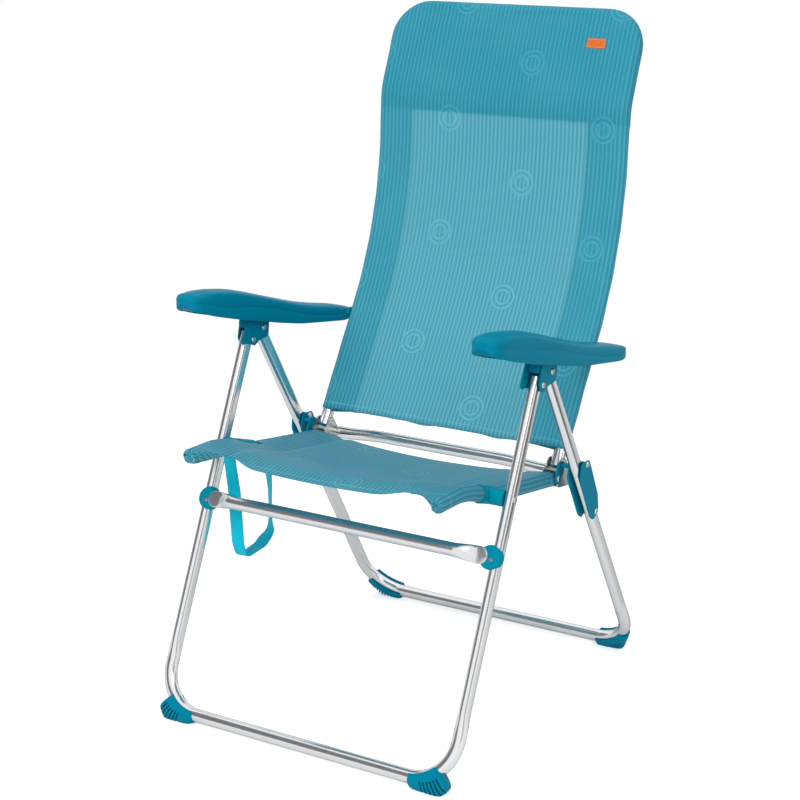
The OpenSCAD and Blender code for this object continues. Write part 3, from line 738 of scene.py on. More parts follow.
def brace_tube():
    """Round tube, pressed to a plate with a round tip at both ends."""
    half = [(x, *BRACE_FACES, 2 * TUBE_R) for x in (0, 40, 80, 120, 160, 190, 200)]
    for i in range(1, 25):
        t = i / 24
        front = mix(BRACE_FACES[0], PLATE_FACES[0], smooth((t - 0.15) / 0.85))
        rear = mix(BRACE_FACES[1], PLATE_FACES[1], smooth(t))
        half.append((mix(206, 251, t), front, rear, mix(2 * TUBE_R, 28, smooth(1.05 * t))))
    for i in range(13):
        a = math.radians(83 * i / 12)
        half.append((253.5 + 14 * math.sin(a), -18.7, PLATE_FACES[1], 28 * math.cos(a)))
    stations = [(-x, *rest) for x, *rest in reversed(half[1:])] + half
    rows, marks = [], []
    for x, front, rear, tall in stations:
        n = (front + rear) / 2
        mid = front_point(x, n, BRACE_S)
        ahead = front_point(x, n + METRE, BRACE_S) - mid
        rise = front_point(x, n, BRACE_S + METRE) - mid
        deep, flat = (rear - front) * MM, smooth((abs(x) - 236) / 15)
        ring = []
        for k, pressed in enumerate(tube_ring(mid, ahead, rise, deep, tall * MM)):
            a = 2 * math.pi * k / RING
            full = mid + ahead * (deep / 2 * math.cos(a)) + rise * (tall * MM / 2 * math.sin(a))
            ring.append(full.lerp(pressed, flat))
        rows.append(ring)
        marks.append([(FACET * j, x * MM) for j in range(RING)])
    skin = Skin()
    skin.solid(rows, marks)
    return skin.build("brace_tube", shade=50)


finish_piece(brace_tube(), "front_legs", brushed, "aluminium", "front_brace")

CLIP_X = 270
# Radius, and n in the front legs' plane, from the centre of the dome to its foot
CLIP_DOME = [
    (0.6, -17.2), (7, -17.2), (13, -17.2), (14.5, -17.7), (16.5, -17.4), (18.3, -16),
    (19, -14.4), (19.5, -12.5), (19.5, -4),
]


def brace_clip(side_name, side):
    """Round domed cap that holds the pressed end of the brace to the leg."""
    turns = [2 * math.pi * k / 48 for k in range(48)]
    rows = []
    for r, n in CLIP_DOME:
        rows.append([
            front_point(side * (CLIP_X + r * math.cos(a)), n, BRACE_S + r * math.sin(a))
            for a in turns
        ])
    skin = Skin()
    skin.solid(rows)
    piece = skin.build("brace_cap_" + side_name, shade=45)
    replaced = "brace_clip_" + side_name
    return finish_piece(piece, "front_legs", bright_teal, "teal_plastic", replaced)


for side_name, side in SIDES:
    brace_clip(side_name, side)


# ---- Feet ----
# Reach of the sole from the tube's middle, by degrees round the bend from the floor bar
TONGUE = [(3.0, 12), (4.0, 14), (6.0, 16.4), (9.0, 18.6), (20, 24)]
FRONT_REACH = TONGUE + [(30, 33), (34, 36.5), (38, 35.4), (42, 33.8), (45, 31.5), (46.2, 29)]
REAR_REACH = TONGUE + [
    (28, 30), (31, 30.5), (35, 28), (40, 23.4), (45, 20.1), (50, 17.6), (55, 15.5), (56, 13),
]
FIRST_RIB, RIB_STEP, RIB_HALF = 20.5, 4, 0.8  # in the same degrees
SQUARED = 0.72  # a power under 1 squares the corners of a round section
HIDDEN_R = 11.1  # inner face of a foot, just outside the tube's skin
FLOOR_GAP = 0.0002


def foot_stations(end):
    """Degrees round the bend, each with whether a slot is cut there."""
    stations = [(at, False) for at in (3, 3.4, 4, 5, 6, 7.5, 9, 11, 13, 15, 17, 19)]
    for k in range(6):
        middle = FIRST_RIB + RIB_STEP * k
        for at, cut in (
            (middle - RIB_HALF - 0.05, False), (middle - RIB_HALF, True),
            (middle + RIB_HALF, True), (middle + RIB_HALF + 0.05, False), (middle + 2, False),
        ):
            stations.append((at, cut))
    return stations + [(mix(43, end, k / 12), False) for k in range(1, 13)]


def squared(value):
    return math.copysign(abs(value) ** SQUARED, value)


def foot(name, body, centre, tilt, side, reach_table, replaced):
    """Wedge block under a floor bend: smooth inboard, cut into ribs outboard."""
    end = reach_table[-1][0]
    rows = []
    for at, cut in foot_stations(end):
        a = math.radians(at - 90)
        out = Vector((math.cos(a), math.sin(a)))
        x, s = LEG_X - BEND_R + BEND_R * out.x, BEND_R + BEND_R * out.y
        reach = table(reach_table, at)
        wide = min(15.4, 11.2 + 4.4 * smooth((at - 2) / 5), 11.8 + 2.6 * (end - at))
        mid = leg_point(centre, tilt, side * x, 0, s)
        way = leg_point(centre, tilt, side * (x + out.x * METRE), 0, s + out.y * METRE) - mid
        normal = leg_point(centre, tilt, side * x, METRE, s) - mid
        ring = []
        for i in range(33):
            a = math.radians(mix(-104, 104, i / 32))
            deep, across = (reach if math.cos(a) > 0 else wide), wide
            if cut and abs(a) < 1.35:
                deep, across = 13.6, 13.2
            deep *= squared(math.cos(a))
            across *= squared(math.sin(a))
            ring.append(mid + way * (deep * MM) + normal * (across * MM))
        for i in range(17):
            a = math.radians(mix(104, -104, i / 16))
            ring.append(
                mid + way * (HIDDEN_R * MM * math.cos(a)) + normal * (HIDDEN_R * MM * math.sin(a))
            )
        for p in ring:
            p.z = max(p.z, FLOOR_GAP)
        rows.append(ring)
    skin = Skin()
    skin.solid(rows)
    piece = skin.build(name, shade=38)
    return finish_piece(piece, body, teal, "teal_plastic", replaced)


for side_name, side in SIDES:
    foot("front_foot_block_" + side_name, "front_legs", FRONT_C, FRONT_LEAN, side, FRONT_REACH,
         "front_foot_" + side_name)
    foot("rear_foot_block_" + side_name, "rear_legs", REAR_C, REAR_LEAN, side, REAR_REACH,
         "rear_foot_" + side_name)


# ---- Moulded brackets and links ----
def rounded(corners):
    """Closed outline with rounded corners; each corner is (y, z, radius)."""
    made = []
    total, count = len(corners), 5
    for i, (y, z, radius) in enumerate(corners):
        at = Vector((y, z))
        u = (Vector(corners[i - 1][:2]) - at).normalized()
        w = (Vector(corners[(i + 1) % total][:2]) - at).normalized()
        half = u.angle(w) / 2
        centre = at + (u + w).normalized() * (radius / math.sin(half))
        a = at + u * (radius / math.tan(half)) - centre
        b = at + w * (radius / math.tan(half)) - centre
        turn, a0 = a.angle_signed(b), math.atan2(a.y, a.x)
        for k in range(count + 1):
            angle = a0 - turn * k / count
            made.append(centre + radius * Vector((math.cos(angle), math.sin(angle))))
    return made


def slab(skin, outline, x0, x1, side):
    """Closed flat part between two planes across the chair."""
    rows = [[place(side * x, p[0], p[1]) for p in outline] for x in (x0, x1)]
    skin.grid(rows, closed=True)
    for row in rows:
        skin.cap(row)


WALL_IN, WALL_OUT, EAR = (264.5, 267.5), (286.5, 289.5), (246.4, 249.4)
WEB = (267.4, 286.6)  # between the walls
EAR_WEB = (249.3, 264.6)
BRACKET_HEEL = [
    (8, 581, 6), (22, 588, 6), (48, 590, 8), (51, 616, 8), (40, 632, 8), (24, 640, 6),
]
BRACKET_OUT = [(2, 640, 6), (-9, 596, 6), (-4, 583, 5)] + BRACKET_HEEL
BRACKET_IN = [(-6, 640, 6), (-29, 596, 4), (-26, 590, 3), (-8, 588, 4)] + BRACKET_HEEL
BRACKET_WEB = [(-8, 614), (-5, 614), (3, 637), (-3, 637), (-8, 622)]
LINK_HEEL = [
    (164.5, 360, 20), (186, 322, 12), (197, 314, 4), (208, 318, 6), (217, 330, 6),
    (213, 356, 14), (178, 425, 8),
]
LINK_OUT = [(150, 424, 6), (147, 395, 10)] + LINK_HEEL
LINK_IN = [(150, 424, 6), (143, 400, 6), (150, 384, 10)] + LINK_HEEL
LINK_EAR = [
    (138, 408, 7), (134, 388, 8), (146, 383, 6), (164, 400, 6), (164, 420, 6), (150, 422, 6),
]
LINK_WEB = [(172.6, 409), (175.2, 410.6), (166.8, 424.2), (164.2, 422.6)]
LINK_EAR_WEB = [(151, 412), (154, 412), (164, 414), (164, 417), (151, 417)]


def moulded(name, parts, side, body, replaced):
    skin = Skin()
    for outline, (x0, x1) in parts:
        slab(skin, outline, x0, x1, side)
    piece = skin.build(name, shade=35)
    round_edges(piece, 0.9)
    return finish_piece(piece, body, teal, "teal_plastic", replaced)


for side_name, side in SIDES:
    moulded("bracket_" + side_name, [
        (rounded(BRACKET_IN), WALL_IN), (rounded(BRACKET_OUT), WALL_OUT), (BRACKET_WEB, WEB),
    ], side, "front_legs", "leg_bracket_" + side_name)
    moulded("link_" + side_name, [
        (rounded(LINK_IN), WALL_IN), (rounded(LINK_OUT), WALL_OUT), (rounded(LINK_EAR), EAR),
        (LINK_WEB, WEB), (LINK_EAR_WEB, EAR_WEB),
    ], side, "links", "rear_link_" + side_name)


# ---- Armrests: a crowned shell, open underneath ----
ARM_X, ARM_REAR, ARM_NOSE = 275, -172, 297
ARM_TOP = [
    (-172, 700), (-150, 703), (-118, 702), (-60, 692), (-7, 677), (47, 660), (132, 634),
    (191, 619.5), (247, 608), (297, 594),
]
ARM_LOW = [
    (-172, 688), (-170, 681), (-165, 675), (-119, 659), (-36, 636), (15, 624), (53, 614),
    (128, 597), (198, 586), (268, 575), (290, 576), (297, 581),
]
ARM_HALF = [
    (-172, 9), (-171, 13), (-168, 17.5), (-163, 21), (-155, 23.8), (-142, 25), (270, 25),
    (282, 24), (290, 21.5), (295, 17), (297, 11),
]
ARM_CREASE = [
    (-172, 694), (-120, 678), (-90, 668), (-31, 659.5), (37, 643.5), (108, 622.5),
    (171, 604.5), (250, 589), (297, 588),
]
ARM_WALL, ARM_ROOF = 3.0, 5.5
NOTCH_PIN, ARM_PIVOT = Vector((14, 632)), Vector((279, 588))
FIRST_NOTCH, NOTCH_STEP = 269, 25.6
# One notch of the rack: along it from its middle, and above the line of the pin
NOTCH = [
    (-9, 4.2), (-4, 4.2), (-3.6, 8.2), (-1.6, 9.2), (2.2, 9.2), (4.2, 8.2), (4.6, 7.2), (9, 4.2),
]
RACK_X = (269.5, 284.5)
RACK_ROOT = 5.2  # how far under the armrest's top the rack ends


def softened(pairs, at, reach):
    """Value in a table, averaged over its neighbourhood so that the corners between rows go."""
    spots = [at + reach * k / 4 for k in range(-4, 5)]
    return sum(table(pairs, s) for s in spots) / len(spots)


def arm_profile(y):
    """Closed section of the shell at a depth, from the low outer edge over the top and inside."""
    from_rear, from_nose = y - ARM_REAR, ARM_NOSE - y
    half = table(ARM_HALF, y)
    near_end = smooth(min(from_rear / 26, from_nose / 24))
    top = softened(ARM_TOP, y, 16 * near_end + 0.1)
    low = softened(ARM_LOW, y, 14 * near_end + 0.1)
    top = mix(mix(low, top, 0.72), top, smooth(min(from_rear / 14, from_nose / 14) + 0.25))
    crease = mix((top + low) / 2, softened(ARM_CREASE, y, 20), near_end)
    crease = min(max(crease, low + 2), top - 6)
    shoulder = min(9.0, (top - crease) * 0.62, half * 0.6)
    crown = 2.6 * near_end
    profile = [
        (-half + 0.9, low), (-half + 0.25, low + 1.2), (-half + 0.1, crease - 1.2),
        (-half + 0.9, crease), (-half + 0.05, crease + 1.4),
    ]
    for k in range(6):
        a = math.pi - math.pi / 2 * k / 5
        rise = top - crown - shoulder + shoulder * math.sin(a)
        profile.append((-half + shoulder + shoulder * math.cos(a), rise))
    side_count = len(profile)
    inside = half - shoulder
    for k in range(1, 8):
        x = mix(-inside, inside, k / 8)
        profile.append((x, top - crown * (x / max(inside, 1)) ** 2))
    profile += [(-x, z) for x, z in reversed(profile[:side_count])]
    hollow = mix(low + 1.0, top - ARM_ROOF, smooth(min((y + 150) / 18, (284 - y) / 20)))
    inner, soft = max(half - ARM_WALL, 1.0), 2.0
    profile += [(inner, low), (inner, hollow - soft), (inner - soft, hollow)]
    profile += [(-inner + soft, hollow), (-inner, hollow - soft), (-inner, low)]
    return profile


def notched_rack(skin, side):
    """Rack under the arm: its notches sit on the pin across the bracket."""
    along = (NOTCH_PIN - ARM_PIVOT).normalized()
    above = Vector((along.y, -along.x))
    teeth = []
    for i in range(5):
        for shift, high in NOTCH:
            middle = FIRST_NOTCH + NOTCH_STEP * i
            teeth.append(ARM_PIVOT + along * (middle + shift) + above * high)
    roots = [Vector((p.x, table(ARM_TOP, p.x) - RACK_ROOT)) for p in teeth]
    for a, b, c, d in zip(teeth, teeth[1:], roots, roots[1:]):
        for x, flip in zip(RACK_X, (False, True)):
            quad = [place(side * x, p.x, p.y) for p in (a, b, d, c)]
            skin.grid([[quad[0], quad[1]], [quad[3], quad[2]]], flip=flip)
        skin.grid([[place(side * x, p.x, p.y) for p in (a, b)] for x in RACK_X])


def armrest(side_name, side):
    stations = [-172, -171.4, -170, -168, -165, -161, -156, -150, -142]
    stations += [-134 + 8 * i for i in range(51)]
    stations += [272, 277, 282, 286, 290, 293, 295, 296.4, 297]
    rows, marks = [], []
    for y in stations:
        profile = arm_profile(y)
        rows.append([place(side * (ARM_X + x), y, z) for x, z in profile])
        marks.append([(x * MM, y * MM) for x, _ in profile])
    skin = Skin()
    skin.solid(rows, marks)
    notched_rack(skin, side)
    piece = skin.build("armrest_shell_" + side_name, shade=42)
    return finish_piece(piece, "arm_" + side_name, teal, "teal_plastic", "armrest_" + side_name)


for side_name, side in SIDES:
    armrest(side_name, side)

# ---- Seat: one cloth sewn into a sleeve round each rail ----
rail_line = Line(list(reversed(RAIL)))
back_line = Line([
    (*BACK_FOOT, 0), (*BACK_WAIST, BACK_WAIST_R), (*BACK_NECK, BACK_NECK_R),
    (BACK_TOP_Y, BACK_TOP_Z, 0),
])

SEAT_REAR_Y, SEAT_EVEN_Y = 144, -112  # rear hem, and where the rows stop following the front edge
CUT_FROM_Y, CUT_TO_Y = -97, -44  # opening in the sleeves for the collars
SEAT_TIP_Y = -229  # the cloth's front ends on the rails
RAIL_END_Y = RAIL[-1][0] + 0.1
SAG, HEM_DROOP = 15.5, 6
PUCKER = 2.6  # how far the seam is drawn down
BAND, HALF_TURN = 62, 38  # cloth from the seam to the rail, and round half a tube
FRONT_ROWS = 26
CRUMPLE_SEED = 1


def sleeve_columns():
    """Half of the cloth across, from the middle outwards: (zone, x, share of the zone)."""
    count = SEAM_X // 6
    columns = [("panel", SEAM_X * i / count, i / count) for i in range(count + 1)]
    columns += [("band", mix(SEAM_X, RAIL_X, i / 10), i / 10) for i in range(1, 11)]
    columns += [("wrap", RAIL_X, i / 16) for i in range(1, 17)]
    columns += [("under", mix(RAIL_X, SEAM_X, i / 10), i / 10) for i in range(1, 11)]
    return columns


noise.seed_set(CRUMPLE_SEED)


def crumple(p, size, amount):
    """Small push for bunched cloth, the same each time the script runs."""
    return noise.noise_vector(p / (size * MM)) * (amount * MM)


def seat_front_y(zone, x, t):
    """Depth of the front edge: it draws back at the seams and comes forward to the rails' ends."""
    if zone == "panel":
        return mix(-214, -197, smooth((abs(x) - 105) / 60))
    if zone == "band":
        return mix(-197, SEAT_TIP_Y, smooth(t * 1.05))
    if zone == "wrap":
        return SEAT_TIP_Y - 2 * math.sin(math.pi * t)
    return mix(SEAT_TIP_Y, -199, smooth(t))


def over_rail(seam_low, radius, t):
    """Height of the cloth from the seam, at t = 0, up to the top of the rail."""
    return mix(seam_low - PUCKER, radius, t ** 1.25) + 1.6 * math.sin(math.pi * t)


def seat_spot(zone, x, t, way, s, s0):
    """Place of the cloth across the chair and above the rails' line, s0 being its front edge."""
    peak = (1 - smooth(s / 9)) ** 1.5
    radius = CLOTH_R * (1 - 0.97 * peak)
    sag = SAG * (0.86 + 0.14 * smooth((s - s0) / 60))
    seam_low = CLOTH_R - sag * (1 - (SEAM_X / RAIL_X) ** 2)
    if zone == "panel":
        n = CLOTH_R - sag * (1 - (x / RAIL_X) ** 2)
        n -= PUCKER * math.exp(-((abs(x) - SEAM_X) / 7.0) ** 2)
        ripple = 1.5 * math.sin(abs(x) / 31 + s / 47) * math.exp(-((abs(x) - 150) / 36) ** 2)
        n += ripple * 0.6
    elif zone == "band":
        n = over_rail(seam_low, radius, t)
    elif zone == "wrap":
        a = math.pi / 2 - math.pi * t
        x = way * (RAIL_X + 4 * peak + radius * math.cos(a))
        n = radius * math.sin(a) + 5 * peak
    else:
        n = mix(-radius, seam_low - 4.2, smooth(t) * 0.9 + 0.1 * t)
        opening = mix(6, 18, smooth((RAIL_X - 8 - abs(x)) / 12))
        n = mix(over_rail(seam_low, radius, 1 - t) - 0.8, n, smooth((s - s0) / opening))
    return x, n


def seat_cloth():
    half = sleeve_columns()
    columns = [(z, -x, t, -1) for z, x, t in reversed(half[1:])]
    columns += [(z, x, t, 1) for z, x, t in half]
    s_rear, s_even = rail_line.at_y(SEAT_REAR_Y), rail_line.at_y(SEAT_EVEN_Y)
    cut_from, cut_to = rail_line.at_y(CUT_FROM_Y), rail_line.at_y(CUT_TO_Y)
    rear_spots = []
    for a, b, count in ((s_even, cut_from, 4), (cut_from, cut_to, 12), (cut_to, s_rear, 40)):
        rear_spots += [mix(a, b, i / count) for i in range(count)]
    rear_spots.append(s_rear)
    rows = [[] for _ in range(FRONT_ROWS + len(rear_spots))]
    marks = [[] for _ in rows]
    cut = []
    for zone, x, t, way in columns:
        s0 = rail_line.at_y(max(seat_front_y(zone, x, t), RAIL_END_Y))
        spots = [mix(s0, s_even, (i / FRONT_ROWS)) for i in range(FRONT_ROWS)] + rear_spots
        reach = {
            "panel": SEAM_X * t, "band": SEAM_X + BAND * t,
            "wrap": SEAM_X + BAND + math.pi * CLOTH_R * t,
            "under": SEAM_X + BAND + HALF_TURN + BAND * t,
        }[zone]
        for row, s in enumerate(spots):
            px, n = seat_spot(zone, x, t, way, s, s0)
            # The hem hangs between the rails
            n -= HEM_DROOP * (1 - smooth((s - s0) / 34)) * (1 - smooth((abs(x) - 120) / 70))
            point = offset(rail_line, s, px, n)
            tip = 1 - smooth(s / 11)
            if tip > 0.01 and zone != "panel":
                inboard = {"wrap": 0, "band": 1 - t, "under": t}[zone]
                amount = 3.0 * tip * (1.0 - inboard * 0.8)
                bunch = crumple(point, 9, amount)
                point += bunch + crumple(point + Vector((5, 3, 1)), 4, amount * 0.5)
            rows[row].append(point)
            marks[row].append((way * reach * MM, s * MM))
        cut.append(zone == "wrap" or (zone != "panel" and abs(x) > 212))

    def keep(i, j):
        """Faces outside the openings for the collars."""
        if i < FRONT_ROWS or not (cut[j] and cut[j + 1]):
            return True
        a, b = rear_spots[i - FRONT_ROWS], rear_spots[i + 1 - FRONT_ROWS]
        return a < cut_from - 0.01 or b > cut_to + 0.01

    skin = Skin()
    skin.grid(rows, marks, keep=keep)
    return thicken(skin.build("seat_sling", outward=False, shade=0), CLOTH_T, 0)


seat = seat_cloth()
SEAT_HEMS = [0.030, 0.367]  # from the front end of the rails
# The seat is the back's cloth with painted shade: the tint at the end darkens it for the light that
# falls on the flat seat
seat_weave = sling_finish("sling_weave_seat", 0, SEAM, 0.30, SEAT_HEMS, (0.55, 0.72, 0.77, 1))
finish_piece(seat, "seat", seat_weave, "sling_fabric", "seat_fabric")

# ---- Back: front panel, sleeves round the side tubes and a hem over the top bar ----
S_TOP = back_line.total
S_CORNER = S_TOP - BACK_TOP_R
S_HOOD = S_TOP - HOOD_DEPTH


# Pulls in the cloth: (x, place below the top, angle, length, width, height)
FOLDS = [
    (-150, -60, 62, 90, 13, 2.2), (-60, -85, 66, 80, 15, -1.8), (20, -110, 58, 90, 12, 1.3),
    (120, -60, 75, 70, 14, -1.5), (190, -120, 96, 60, 10, 2.0), (-195, -40, 80, 60, 10, -1.4),
]
BACK_SAG = 3.0
WRAP_STEPS = 14
POCKET_R = CLOTH_R + 1.3  # the rear layer lies over the wrap
POCKET_COLUMNS, WRAP_COLUMNS = 32, 6  # from the middle to a side tube, and on round the tube
WRAP_TURN = math.radians(13)  # turn round the tube from one column to the next


def back_folds(x, s):
    """Soft pulls in the cloth near the head and at the hem."""
    push = 0.0
    for cx, cs, angle, long, wide, high in FOLDS:
        dx, ds = x - cx, (s - S_TOP) - cs
        c, d = math.cos(math.radians(angle)), math.sin(math.radians(angle))
        along, across = dx * c + ds * d, -dx * d + ds * c
        push += high * math.exp(-(along / long) ** 2 - (across / wide) ** 2)
    push += 0.8 * math.sin(x / 23.0) * math.exp(-s / 16.0)
    return push


def back_levels():
    """Lengths along the back, each with its turn into the top corners."""
    levels = [(S_CORNER * i / 84, 0.0) for i in range(84)]
    for i in range(13):
        a = math.pi / 2 * i / 12
        levels.append((S_CORNER + BACK_TOP_R * math.sin(a), a))
    return levels


def half_width(a):
    return RAIL_X - BACK_TOP_R + BACK_TOP_R * math.cos(a)


def round_tube(x, s, out, theta, reach):
    """Point round the back's tube: theta from its front, towards out."""
    _, ahead, normal = back_line.at(s)
    across = Vector((out.x, ahead.x * out.y, ahead.y * out.y))
    face = Vector((0, normal.x, normal.y))
    return offset(back_line, s, x, 0) + (face * math.cos(theta) + across * math.sin(theta)) * reach


def pocket_mark(s):
    """Length along the cloth on the pocket's rear layer, past the top bar and down again."""
    return S_TOP * 2 + HALF_TURN - s


def front_panel(levels):
    """Panel between the side tubes and up to the top bar: its rows and their cloth places."""
    panel, marks = [], []
    half_count = 34
    for s, a in levels:
        width = half_width(a)
        row, mark = [], []
        for k in range(-half_count, half_count + 1):
            x = width * k / half_count
            fade = (1 - (abs(x) / width) ** 4) * smooth((S_TOP - s) / 40)
            sag = BACK_SAG * (1 - (x / RAIL_X) ** 2) * smooth(s / 60) * smooth((S_TOP - s) / 160)
            n = CLOTH_R - sag + back_folds(x, s) * fade
            if s < S_HOOD:
                n -= 1.1 * math.exp(-((abs(x) - SEAM_X) / 3.0) ** 2)
            n += smooth((s - S_HOOD + 3) / 6) * 0.7 * fade
            wave = (1.8 * math.sin(x / 27.0) + 1.1 * math.sin(x / 11.0 + 1)) * math.exp(-s / 10.0)
            point = offset(back_line, max(s + (wave if s < 12 else 0), 0.0), x, n)
            row.append(point - Vector((0, 0, 0 if s > 0.1 else abs(wave) * MM)))
            mark.append((x * MM, s * MM))
        panel.append(row)
        marks.append(mark)
    return panel, marks


def sleeve_wraps(skin, levels, panel, marks):
    """Cloth on from the panel's edge, round the back of both side tubes and the top bar."""
    left, right = (
        [(side * half_width(a), s, Vector((side * math.cos(a), math.sin(a)))) for s, a in levels]
        for side in (-1, 1)
    )
    top = [(mark[0] / MM, S_TOP, Vector((0, 1))) for mark in marks[-1][1:-1]]
    firsts = [row[0] for row in panel] + panel[-1][1:-1] + [row[-1] for row in reversed(panel)]
    rows, places = [], []
    for (x, s, out), first in zip(left + top + right[::-1], firsts):
        ring, mark = [first], [(x * MM, s * MM)]
        for k in range(1, WRAP_STEPS + 1):
            theta = math.pi * k / WRAP_STEPS
            reach = CLOTH_R + 0.3 * math.sin(s / 13.0 + k) * math.sin(theta)
            ring.append(round_tube(x, s, out, theta, reach * MM))
            turned = CLOTH_R * theta
            mark.append(((x + out.x * turned) * MM, (s + out.y * turned) * MM))
        rows.append(ring)
        places.append(mark)
    skin.grid(rows, places)


def sleeve_flap(skin, levels, side):
    """Flap of a sleeve, sewn down behind the panel."""
    rows, marks = [], []
    for s, _ in levels:
        if s > S_HOOD + 14:
            break
        row, mark = [], []
        for k in range(11):
            t = k / 10
            n = mix(-CLOTH_R, CLOTH_R - 3.9, smooth(t) * 0.85 + 0.15 * t)
            row.append(offset(back_line, s, side * mix(RAIL_X, SEAM_X, t), n))
            mark.append((side * (RAIL_X + HALF_TURN + 60 * t) * MM, s * MM))
        rows.append(row)
        marks.append(mark)
    skin.grid(rows, marks)


def back_cloth():
    levels = back_levels()
    skin = Skin()
    panel, marks = front_panel(levels)
    skin.grid(panel, marks)
    sleeve_wraps(skin, levels, panel, marks)
    for side in (-1, 1):
        sleeve_flap(skin, levels, side)
    return thicken(skin.build("back_sling", shade=0), CLOTH_T, 0)


def head_pocket():
    """Rear layer of the pocket that slips over the top of the frame."""
    rows, marks = [], []
    edge = POCKET_COLUMNS + WRAP_COLUMNS
    for s, a in back_levels():
        if s < S_HOOD - 5:
            continue
        width = half_width(a)
        row, mark = [], []
        for k in range(-edge, edge + 1):
            if abs(k) <= POCKET_COLUMNS:
                x = width * k / POCKET_COLUMNS
                low = 1 - smooth((s - S_HOOD) / 40)
                n = 2.2 * (1 - (x / width) ** 2) * smooth((S_TOP - s) / 60) - POCKET_R
                n += 1.6 * math.sin(x / 19.0) * low * (1 - (x / width) ** 4)
                row.append(offset(back_line, s, x, n))
            else:
                side = 1 if k > 0 else -1
                turned = WRAP_TURN * (abs(k) - POCKET_COLUMNS)
                out = Vector((side * math.cos(a), math.sin(a)))
                x = side * width
                row.append(round_tube(x, s, out, math.pi - turned, POCKET_R * MM))
                x += out.x * CLOTH_R * turned
            mark.append((x * MM, pocket_mark(s) * MM))
        rows.append(row)
        marks.append(mark)
    skin = Skin()
    skin.grid(rows, marks)
    top_rows, top_marks = [], []
    for k in range(-POCKET_COLUMNS, POCKET_COLUMNS + 1):
        x = (RAIL_X - BACK_TOP_R) * k / POCKET_COLUMNS
        ring, mark = [], []
        for i in range(WRAP_COLUMNS + 1):
            turned = WRAP_TURN * i
            ring.append(round_tube(x, S_TOP, Vector((0, 1)), math.pi - turned, POCKET_R * MM))
            mark.append((x * MM, (S_TOP + HALF_TURN - CLOTH_R * turned) * MM))
        top_rows.append(ring)
        top_marks.append(mark)
    skin.grid(top_rows, top_marks)
    return thicken(skin.build("head_pocket_rear", shade=0), CLOTH_T, 0)


back = back_cloth()
pocket = head_pocket()
back_weave = sling_finish("sling_weave_back", S_HOOD * MM, SEAM, 0.9, [0.011])
POCKET_HEM = (pocket_mark(S_HOOD) - 7) * MM
pocket_weave = sling_finish("sling_weave_pocket", 0, 0.30, 0.0, [POCKET_HEM])
finish_piece(back, "back", back_weave, "sling_fabric", "back_fabric")
finish_piece(pocket, "back", pocket_weave, "sling_fabric")

# ---- Label: a bare woven tag, sewn on flat ----
TAG_X, TAG_DOWN = 166, 52  # its middle: across the back, and down from the top bar


def label():
    rows, marks = [], []
    for j in range(9):
        v = mix(-TAG_H / 2, TAG_H / 2, j / 8)
        s = S_TOP - TAG_DOWN + v
        row, mark = [], []
        for i in range(17):
            u = mix(-TAG_W / 2, TAG_W / 2, i / 16)
            lift = CLOTH_R + 1.6 + back_folds(TAG_X + u, s) * 0.9
            lift -= 0.35 if i in (0, 16) or j in (0, 8) else 0
            row.append(offset(back_line, s, TAG_X + u, lift))
            mark.append((u * MM, v * MM))
        rows.append(row)
        marks.append(mark)
    skin = Skin()
    skin.grid(rows, marks)
    return thicken(skin.build("label_cloth", outward=False, shade=0), TAG_T, -1)


tag = label()
finish_piece(tag, "back", label_cloth, "orange_tag", "label_tag")

# ---- Carrying strap: flat webbing hanging in a loop under the right rail ----
STRAP_X = -240
STRAP = [
    (-106, 423, 0), (-93, 352, 60), (-86, 258, 60), (-76, 230, 12), (-22, 236, 24),
    (10, 254, 12), (9, 330, 60), (2, 397.2, 0),
]
# Half of the webbing's section, seen along it
WEB_FACE = [(-12, 0.35), (-11.4, 0.8), (-6, 0.8), (0, 0.8), (6, 0.8), (11.4, 0.8), (12, 0.35)]


def carrying_strap():
    loop = Line(STRAP)
    section = WEB_FACE + [(-x, -n) for x, n in WEB_FACE]
    rows, marks = [], []
    for i in range(121):
        s = loop.total * i / 120
        share = s / loop.total
        lean = 3.0 * math.sin(share * math.pi * 2)
        twist = 46 * smooth((share - 0.60) / 0.12) - 22 * smooth((share - 0.78) / 0.2)
        c, d = math.cos(math.radians(twist)), math.sin(math.radians(twist))
        ring, mark = [], []
        for x, n in section:
            across, out = x * c - n * d, n * c + x * d + lean * x / 24
            ring.append(offset(loop, s, STRAP_X + across, out))
            mark.append((x * MM, s * MM))
        rows.append(ring)
        marks.append(mark)
    skin = Skin()
    skin.solid(rows, marks)
    return skin.build("strap_webbing", shade=60), loop.total * MM


strap, STRAP_LENGTH = carrying_strap()
finish_piece(strap, "seat", webbing, "webbing", "carry_strap")


# ---- Bar behind the seat: its ends dip into the hinge forks ----
REAR_BAR_HALF, REAR_BAR_Y, REAR_BAR_Z, REAR_BAR_D = 217.8, 186, 395.7, 21


def rear_bar():
    rows, marks = [], []
    for i in range(65):
        x = mix(-REAR_BAR_HALF, REAR_BAR_HALF, i / 64)
        dip = 4.5 * smooth((abs(x) - 120) / 80)
        thick = REAR_BAR_D * MM
        mid = place(x, REAR_BAR_Y, REAR_BAR_Z - dip)
        rows.append(tube_ring(mid, Vector((0, 1, 0)), Vector((0, 0, 1)), thick, thick))
        marks.append([(FACET * j, x * MM) for j in range(RING)])
    skin = Skin()
    skin.solid(rows, marks)
    return skin.build("rear_cross_bar", shade=60)


finish_piece(rear_bar(), "seat", polished, "aluminium", "seat_rear_bar")

